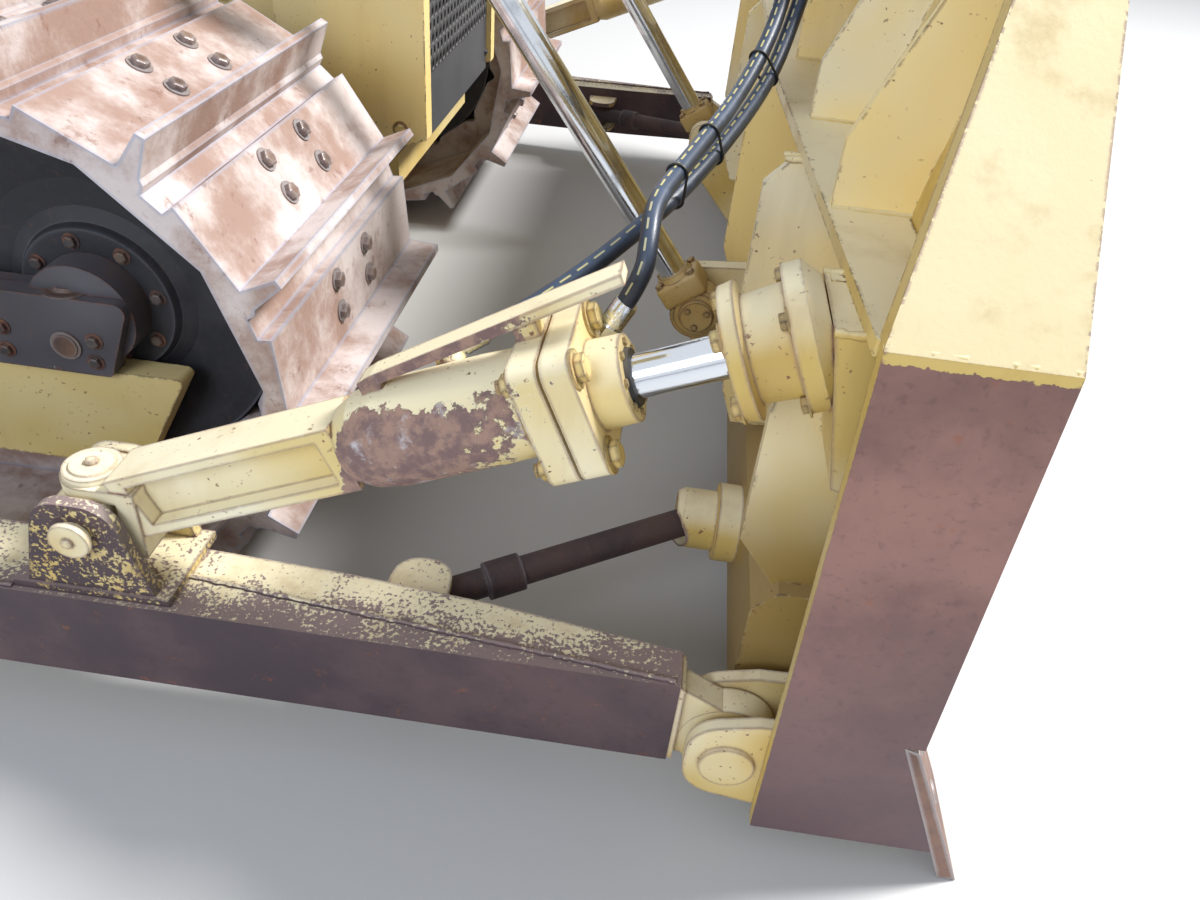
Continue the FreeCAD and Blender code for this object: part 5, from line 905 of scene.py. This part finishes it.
rubber = hose_rubber("hose rubber")
sleeve_steel = chrome("sleeve steel", (0.0, -1.0, 0.0))
pale_print = moulded("printed line", tint(214, 206, 140), tint(190, 186, 150), rough=0.55)
tie_plastic = moulded("tie plastic", tint(16, 16, 18), tint(30, 30, 32), rough=0.4)
LOOK = Vector((-0.30, -0.70, 0.60)).normalized()
sleeves = bmesh.new()
dashes = bmesh.new()
lines = []
for number, route in enumerate((FRONT_HOSE, REAR_HOSE), 1):
    curve = hose_line(route)
    spots = walked(curve, 0.006)
    lines.append(spots)
    for spot, way in spots[12::5]:
        out = (LOOK - way * LOOK.dot(way)).normalized()
        seat = Matrix.Translation(spot + out * (HOSE_RADIUS + 0.0001))
        turn = Matrix((way, out.cross(way), out)).transposed().to_4x4()
        bmesh.ops.create_cube(dashes, size=1.0, matrix=seat @ turn @ Matrix.Diagonal((0.019, 0.0028, 0.0007, 1.0)))
    curve.bevel_depth = HOSE_RADIUS
    curve.bevel_resolution = 5
    curve.use_fill_caps = True
    curve.materials.append(rubber)
    hose = bpy.data.objects.new("tilt_hose_" + str(number), curve)
    scene.collection.objects.link(hose)
    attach(hose, "tilt_barrel")
    if number == 1:
        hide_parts("tilt_hoses")
    start = FORK + Vector(route[0]) / 1000.0
    way = (Vector(route[1]) - Vector(route[0])).normalized()
    disc(sleeves, start + way * 0.002, way, 0.0215, 0.016, sides=6, top=0.0205)
    disc(sleeves, start + way * 0.018, way, 0.0150, 0.006, sides=32)
    for k in range(4):
        disc(sleeves, start + way * (0.022 + 0.009 * k), way, 0.0182, 0.0075, sides=32, top=0.0178)
        disc(sleeves, start + way * (0.029 + 0.009 * k), way, 0.0166, 0.0025, sides=32)
    print("hose", number, "is", round(0.006 * len(spots), 2), "m long")
piece("hose_sleeves", sleeves, sleeve_steel, "tilt_barrel")
piece("hose_print", dashes, pale_print, "tilt_barrel", sharp=60.0)

ties = bpy.data.curves.new("hose_ties", "CURVE")
ties.dimensions = "3D"
ties.bevel_depth = 0.0022
ties.bevel_resolution = 2
for index in (52, 76, 118):
    spot, way = lines[0][index]
    other = min((place_b for place_b, _ in lines[1]), key=lambda place_b: (place_b - spot).length)
    span = other - spot
    span -= way * span.dot(way)
    side_way = way.cross(span).normalized()
    long_way = span.normalized()
    loop = ties.splines.new("POLY")
    loop.points.add(31)
    loop.use_cyclic_u = True
    for k, point in enumerate(loop.points):
        angle = 2.0 * math.pi * k / 32.0
        reach = span * (0.5 + math.copysign(0.5, math.cos(angle)))
        point.co = (*(spot + reach + (long_way * math.cos(angle) + side_way * math.sin(angle)) * 0.0160), 1.0)
ties.materials.append(tie_plastic)
tie_object = bpy.data.objects.new("hose_ties", ties)
scene.collection.objects.link(tie_object)
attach(tie_object, "tilt_barrel")
print("hoses tied")

# %% [markdown]
# The grille is a thin plate with rows of small oval slots, shifted by half a step from row to row, over a
# plain lower band. Two rows make one cell with their holes, and two Array modifiers repeat it.

# %% Grille plate
plate_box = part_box("grille")
GRILLE_X = plate_box[1][0]
HALF_WIDE = plate_box[1][1]
GRILLE_LOW = plate_box[0][2]
GRILLE_HIGH = plate_box[1][2]
COLUMNS = 20
CELL_WIDE = 2.0 * HALF_WIDE / COLUMNS
CELL_TALL = 0.060
BAND_TOP = GRILLE_LOW + 0.150
CELLS_UP = int((GRILLE_HIGH - BAND_TOP) / CELL_TALL)
cell = bmesh.new()


def oval(shape, y, z, half_wide, half_tall):
    """Loop of edges round a slot with round ends."""
    ring = []
    for k in range(10):
        angle = 2.0 * math.pi * (k + 0.5) / 10.0
        ring.append(shape.verts.new((0.0, y + half_wide * math.cos(angle), z + half_tall * math.sin(angle))))
    return [shape.edges.new((a, b)) for a, b in zip(ring, ring[1:] + ring[:1])]


corners = [cell.verts.new((0.0, y, z)) for y, z in ((0, 0), (CELL_WIDE, 0), (CELL_WIDE, CELL_TALL), (0, CELL_TALL))]
border = [cell.edges.new((a, b)) for a, b in zip(corners, corners[1:] + corners[:1])]
border += oval(cell, CELL_WIDE * 0.28, CELL_TALL * 0.25, 0.0085, 0.0105)
border += oval(cell, CELL_WIDE * 0.72, CELL_TALL * 0.75, 0.0085, 0.0105)
bmesh.ops.triangle_fill(cell, edges=border, use_beauty=True)
for face in [face for face in cell.faces if len(face.verts) == 10]:
    cell.faces.remove(face)
bmesh.ops.translate(cell, verts=cell.verts, vec=(GRILLE_X - 0.001, -HALF_WIDE, BAND_TOP))
grille_plate = piece("grille_plate", cell, dark_paint, "chassis")
for name, offset, count in (("across", (0.0, CELL_WIDE, 0.0), COLUMNS), ("up", (0.0, 0.0, CELL_TALL), CELLS_UP)):
    repeat = grille_plate.modifiers.new(name, "ARRAY")
    repeat.use_relative_offset = False
    repeat.use_constant_offset = True
    repeat.constant_offset_displace = offset
    repeat.count = count
    repeat.use_merge_vertices = True
thick = grille_plate.modifiers.new("thick", "SOLIDIFY")
thick.thickness = 0.004
thick.offset = -1.0
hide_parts("grille")
frame_shape = bmesh.new()
high_edge = BAND_TOP + CELLS_UP * CELL_TALL
for low, high in ((GRILLE_LOW, BAND_TOP), (high_edge, GRILLE_HIGH)):
    size = (2.0 * HALF_WIDE, high - low, 0.005)
    block(frame_shape, (GRILLE_X - 0.006, 0.0, (low + high) / 2.0), (1, 0, 0), size)
for y in (-HALF_WIDE + 0.012, HALF_WIDE - 0.012):
    for k in range(5):
        z = GRILLE_LOW + 0.05 + k * (GRILLE_HIGH - GRILLE_LOW - 0.10) / 4.0
        bolt(frame_shape, (GRILLE_X - 0.001, y, z), (1, 0, 0), 0.008)
piece("grille_frame", frame_shape, dark_paint, "chassis")
print("grille with", COLUMNS * CELLS_UP * 2, "slots")

# %% [markdown]
# The blade's edge is bolted on so that it can be changed when it has worn. Round bolt heads sit in two rows
# along it, and in a small group on each end bit. The rest of the body gets its own fittings: covers, caps,
# latches, lamp glasses, mirrors and a wiper.

# %% Fittings
shape = bmesh.new()
for z in (0.150, 0.250):
    for k in range(18):
        y = 0.17 * (k - 8.5)
        hit, normal = surface("cutting_edge", (3.2, y, z), (-1, 0, 0))
        if hit is not None:
            disc(shape, hit - normal * 0.001, normal, 0.0190, 0.0045, sides=24, top=0.0150)
for side in (-1.0, 1.0):
    for y, z in ((1.57, 0.16), (1.68, 0.16), (1.57, 0.28), (1.68, 0.28)):
        hit, normal = surface("end_bits", (3.2, side * y, z), (-1, 0, 0))
        if hit is not None:
            disc(shape, hit - normal * 0.001, normal, 0.0210, 0.0045, sides=24, top=0.0165)
piece("edge_bolts", shape, edge_steel, "blade")

shape = bmesh.new()
for side in (-1.0, 1.0):
    for x in (0.14, 0.37, 0.60, 0.83, 1.04):
        for z in (1.165, 1.640):
            hit, normal = surface("hood", (x, side * 1.5, z), (0, -side, 0))
            if hit is not None:
                bolt(shape, hit, normal, 0.0100)
    for x in (1.155, 1.400):
        for z in (0.72, 1.05, 1.40, 1.72):
            hit, normal = surface("radiator_guard", (x, side * 1.5, z), (0, -side, 0))
            if hit is not None:
                bolt(shape, hit, normal, 0.0140)
    for x in (-1.38, -1.10, -0.20, 0.02):
        for z in (1.24, 2.85):
            hit, normal = surface("cab_shell", (x, side * 1.5, z), (0, -side, 0))
            if hit is not None and abs(normal.y) > 0.7:
                bolt(shape, hit, normal, 0.0090)
for y in (-0.30, -0.10, 0.10, 0.30):
    for z in (0.68, 1.00):
        hit, normal = surface("counterweight", (-4.0, y, z), (1, 0, 0))
        if hit is not None:
            bolt(shape, hit, normal, 0.0200)
piece("body_bolts", shape, painted_bolt, "chassis")

shape = bmesh.new()
for side in (-1.0, 1.0):
    for x in (0.25, 0.90):
        hit, normal = surface("hood", (x, side * 1.5, 1.45), (0, -side, 0))
        if hit is not None:
            block(shape, hit, normal, (0.060, 0.030, 0.014), round_off=0.004)
            disc(shape, hit + normal * 0.013, normal, 0.009, 0.006, sides=20)
    disc(shape, (-1.45, side * 1.06, 1.659), (0, 0, 1), 0.055, 0.018, sides=36, top=0.050)
    disc(shape, (-1.45, side * 1.06, 1.676), (0, 0, 1), 0.020, 0.016, sides=20, top=0.018)
disc(shape, (-1.85, 0.0, 1.799), (0, 0, 1), 0.065, 0.022, sides=40, top=0.060)
block(shape, (-1.85, 0.0, 1.820), (0, 0, 1), (0.090, 0.016, 0.014), round_off=0.004)
disc(shape, (1.22, 0.0, 1.789), (0, 0, 1), 0.050, 0.024, sides=36, top=0.046)
piece("caps_and_latches", shape, dark_paint, "chassis")


def lens_glass(name):
    material, tree, shader = start_finish(name)
    ribs = node(tree, "ShaderNodeTexWave", {"bands_direction": "Y"}, Vector=place(tree), Scale=28.0)
    dirt = step(tree, noise(tree, 30.0, 4.0, 0.6), 0.5, 0.75)
    link(tree, mix(tree, dirt, tint(226, 230, 232), tint(176, 176, 168)), shader.inputs["Base Color"])
    link(tree, maths(tree, "ADD", maths(tree, "MULTIPLY", dirt, 0.2), 0.08), shader.inputs["Roughness"])
    shader.inputs["Metallic"].default_value = 0.55
    raise_by(tree, shader, ribs.outputs["Fac"], 0.0006)
    return material


shape = bmesh.new()
rims = bmesh.new()
for x, y, z in ((1.305, 0.30, 1.850), (0.150, 0.38, 3.070)):
    for side in (-1.0, 1.0):
        disc(shape, (x - 0.0135, side * y, z), (1, 0, 0), 0.0430, 0.0060, sides=40, top=0.0380)
        disc(shape, (x - 0.0076, side * y, z), (1, 0, 0), 0.0378, 0.0030, sides=40, top=0.0200)
        disc(rims, (x - 0.0700, side * y, z - 0.001), (1, 0, 0), 0.0475, 0.0060, sides=40, top=0.0475)
piece("lamp_lenses", shape, lens_glass("lamp glass"), "chassis")
piece("lamp_rings", rims, black_plastic, "chassis")


def tube(name, points, radius, material, body):
    """Bent bar through a few points, for mirror arms and wipers."""
    curve = bpy.data.curves.new(name, "CURVE")
    curve.dimensions = "3D"
    curve.bevel_depth = radius
    curve.bevel_resolution = 3
    curve.use_fill_caps = True
    spline = curve.splines.new("NURBS")
    spline.points.add(len(points) - 1)
    for point, spot in zip(spline.points, points):
        point.co = (*spot, 1.0)
    spline.order_u = 3
    spline.use_endpoint_u = True
    curve.resolution_u = 8
    curve.materials.append(material)
    made = bpy.data.objects.new(name, curve)
    scene.collection.objects.link(made)
    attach(made, body)
    return made


for side_name, side in SIDES:
    tube("mirror_arm_" + side_name, [(-0.22, side * 0.735, 2.72), (-0.20, side * 0.85, 2.74), (-0.19, side * 0.93, 2.70),
                                     (-0.19, side * 0.93, 2.50)], 0.009, black_plastic, "chassis")
    shape = bmesh.new()
    block(shape, (-0.205, side * 0.93, 2.50), (1, 0, -0.05), (0.150, 0.260, 0.030), round_off=0.014)
    piece("mirror_" + side_name, shape, black_plastic, "chassis")
wiper_foot, _ = surface("cab_shell", (1.5, 0.0, 1.52), (-1, 0, 0))
wiper_x = wiper_foot.x if wiper_foot is not None else 0.06
tube("wiper_arm", [(wiper_x, 0.05, 1.525), (wiper_x + 0.020, 0.05, 1.560), (wiper_x + 0.010, 0.14, 1.860),
                   (wiper_x - 0.002, 0.20, 2.080)], 0.005, black_plastic, "chassis")
shape = bmesh.new()
disc(shape, (wiper_x - 0.001, 0.05, 1.525), (1, 0, 0), 0.020, 0.022, sides=24, top=0.016)
block(shape, (wiper_x - 0.012, 0.20, 2.000), (1, 0, 0), (0.010, 0.420, 0.012), round_off=0.003)
piece("wiper_blade", shape, black_plastic, "chassis")
print("fittings placed")

# %% [markdown]
# The operator's seat is the only soft thing on the machine. Each cushion starts as a rounded block that is
# a little too small, becomes an even mesh, and is blown up like a balloon by a short cloth simulation. A cap
# on how far a point may move keeps the shape, so the middle crowns and the corners stay tight.

# %% Seat
SEAT_CAP = 0.026
SWELL_FRAMES = 20


def inflate(made, pressure=4.0):
    """Even mesh, cloth with inner pressure and no gravity, and a cap on every point's way."""
    even = made.modifiers.new("even", "REMESH")
    even.mode = "VOXEL"
    even.voxel_size = 0.006
    made.data = bpy.data.meshes.new_from_object(made.evaluated_get(bpy.context.evaluated_depsgraph_get()))
    made.modifiers.clear()
    starts = [vertex.co.copy() for vertex in made.data.vertices]
    cloth = made.modifiers.new("cloth", "CLOTH")
    cloth.settings.use_pressure = True
    cloth.settings.uniform_pressure_force = pressure
    cloth.settings.effector_weights.gravity = 0.0
    for number in range(1, SWELL_FRAMES + 1):
        scene.frame_set(number)
    swollen = bpy.data.meshes.new_from_object(made.evaluated_get(bpy.context.evaluated_depsgraph_get()))
    made.modifiers.clear()
    for vertex, start, end in zip(made.data.vertices, starts, swollen.vertices):
        move = end.co - start
        vertex.co = start + move * min(1.0, SEAT_CAP / max(move.length, 1e-6))
    bpy.data.meshes.remove(swollen)
    scene.frame_set(1)


def seat_cloth(name):
    """Dark woven cloth with a darker sewn line on each side."""
    material, tree, shader = start_finish(name)
    weave = noise(tree, 900.0, 2.0, 0.5)
    wear = step(tree, noise(tree, 5.0, 5.0, 0.6), 0.42, 0.70)
    apart = maths(tree, "ABSOLUTE", maths(tree, "SUBTRACT", maths(tree, "ABSOLUTE", height(tree, "Y")), 0.150))
    seam = maths(tree, "SUBTRACT", 1.0, step(tree, apart, 0.001, 0.007))
    base = mix(tree, wear, tint(52, 52, 56), tint(78, 76, 74))
    link(tree, mix(tree, maths(tree, "MULTIPLY", seam, 0.7), base, tint(24, 24, 26)), shader.inputs["Base Color"])
    link(tree, maths(tree, "ADD", maths(tree, "MULTIPLY", weave, 0.1), 0.78), shader.inputs["Roughness"])
    shader.inputs["Sheen Weight"].default_value = 0.3
    relief = maths(tree, "SUBTRACT", maths(tree, "MULTIPLY", weave, 0.12), seam)
    raise_by(tree, shader, relief, 0.0035)
    return material


cloth_finish = seat_cloth("seat cloth")
for name, centre, size, lean in (("seat_cushion", (-0.785, 0.0, 1.674), (0.410, 0.460, 0.095), -5.0),
                                 ("seat_back", (-1.022, 0.0, 1.990), (0.095, 0.430, 0.600), -7.0)):
    shape = bmesh.new()
    seat = Matrix.Translation(centre) @ Matrix.Rotation(math.radians(lean), 4, "Y") @ Matrix.Diagonal((*size, 1.0))
    bmesh.ops.create_cube(shape, size=1.0, matrix=seat)
    bmesh.ops.bevel(shape, geom=shape.edges[:], offset=0.030, segments=5, profile=0.5, affect="EDGES")
    made = piece(name, shape, cloth_finish, "chassis", sharp=80.0)
    inflate(made)
    made.data.polygons.foreach_set("use_smooth", [True] * len(made.data.polygons))
    smooth = made.modifiers.new("smooth", "SUBSURF")
    smooth.levels = 1
    smooth.render_levels = 1
    if name == "seat_cushion":
        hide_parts("seat")
shape = bmesh.new()
for k, (wide, tall) in enumerate(((0.170, 0.030), (0.130, 0.060), (0.150, 0.060), (0.130, 0.060), (0.150, 0.060),
                                  (0.130, 0.060), (0.165, 0.060))):
    low = 1.190 + (0.0 if k == 0 else 0.030 + 0.060 * (k - 1))
    block(shape, (-0.80, 0.0, low), (0, 0, 1), (wide * 2.0, wide * 2.0, tall), round_off=0.010)
block(shape, (-0.80, 0.0, 1.580), (0, 0, 1), (0.300, 0.340, 0.040), round_off=0.008)
piece("seat_base", shape, black_plastic, "chassis")
print("seat ready")
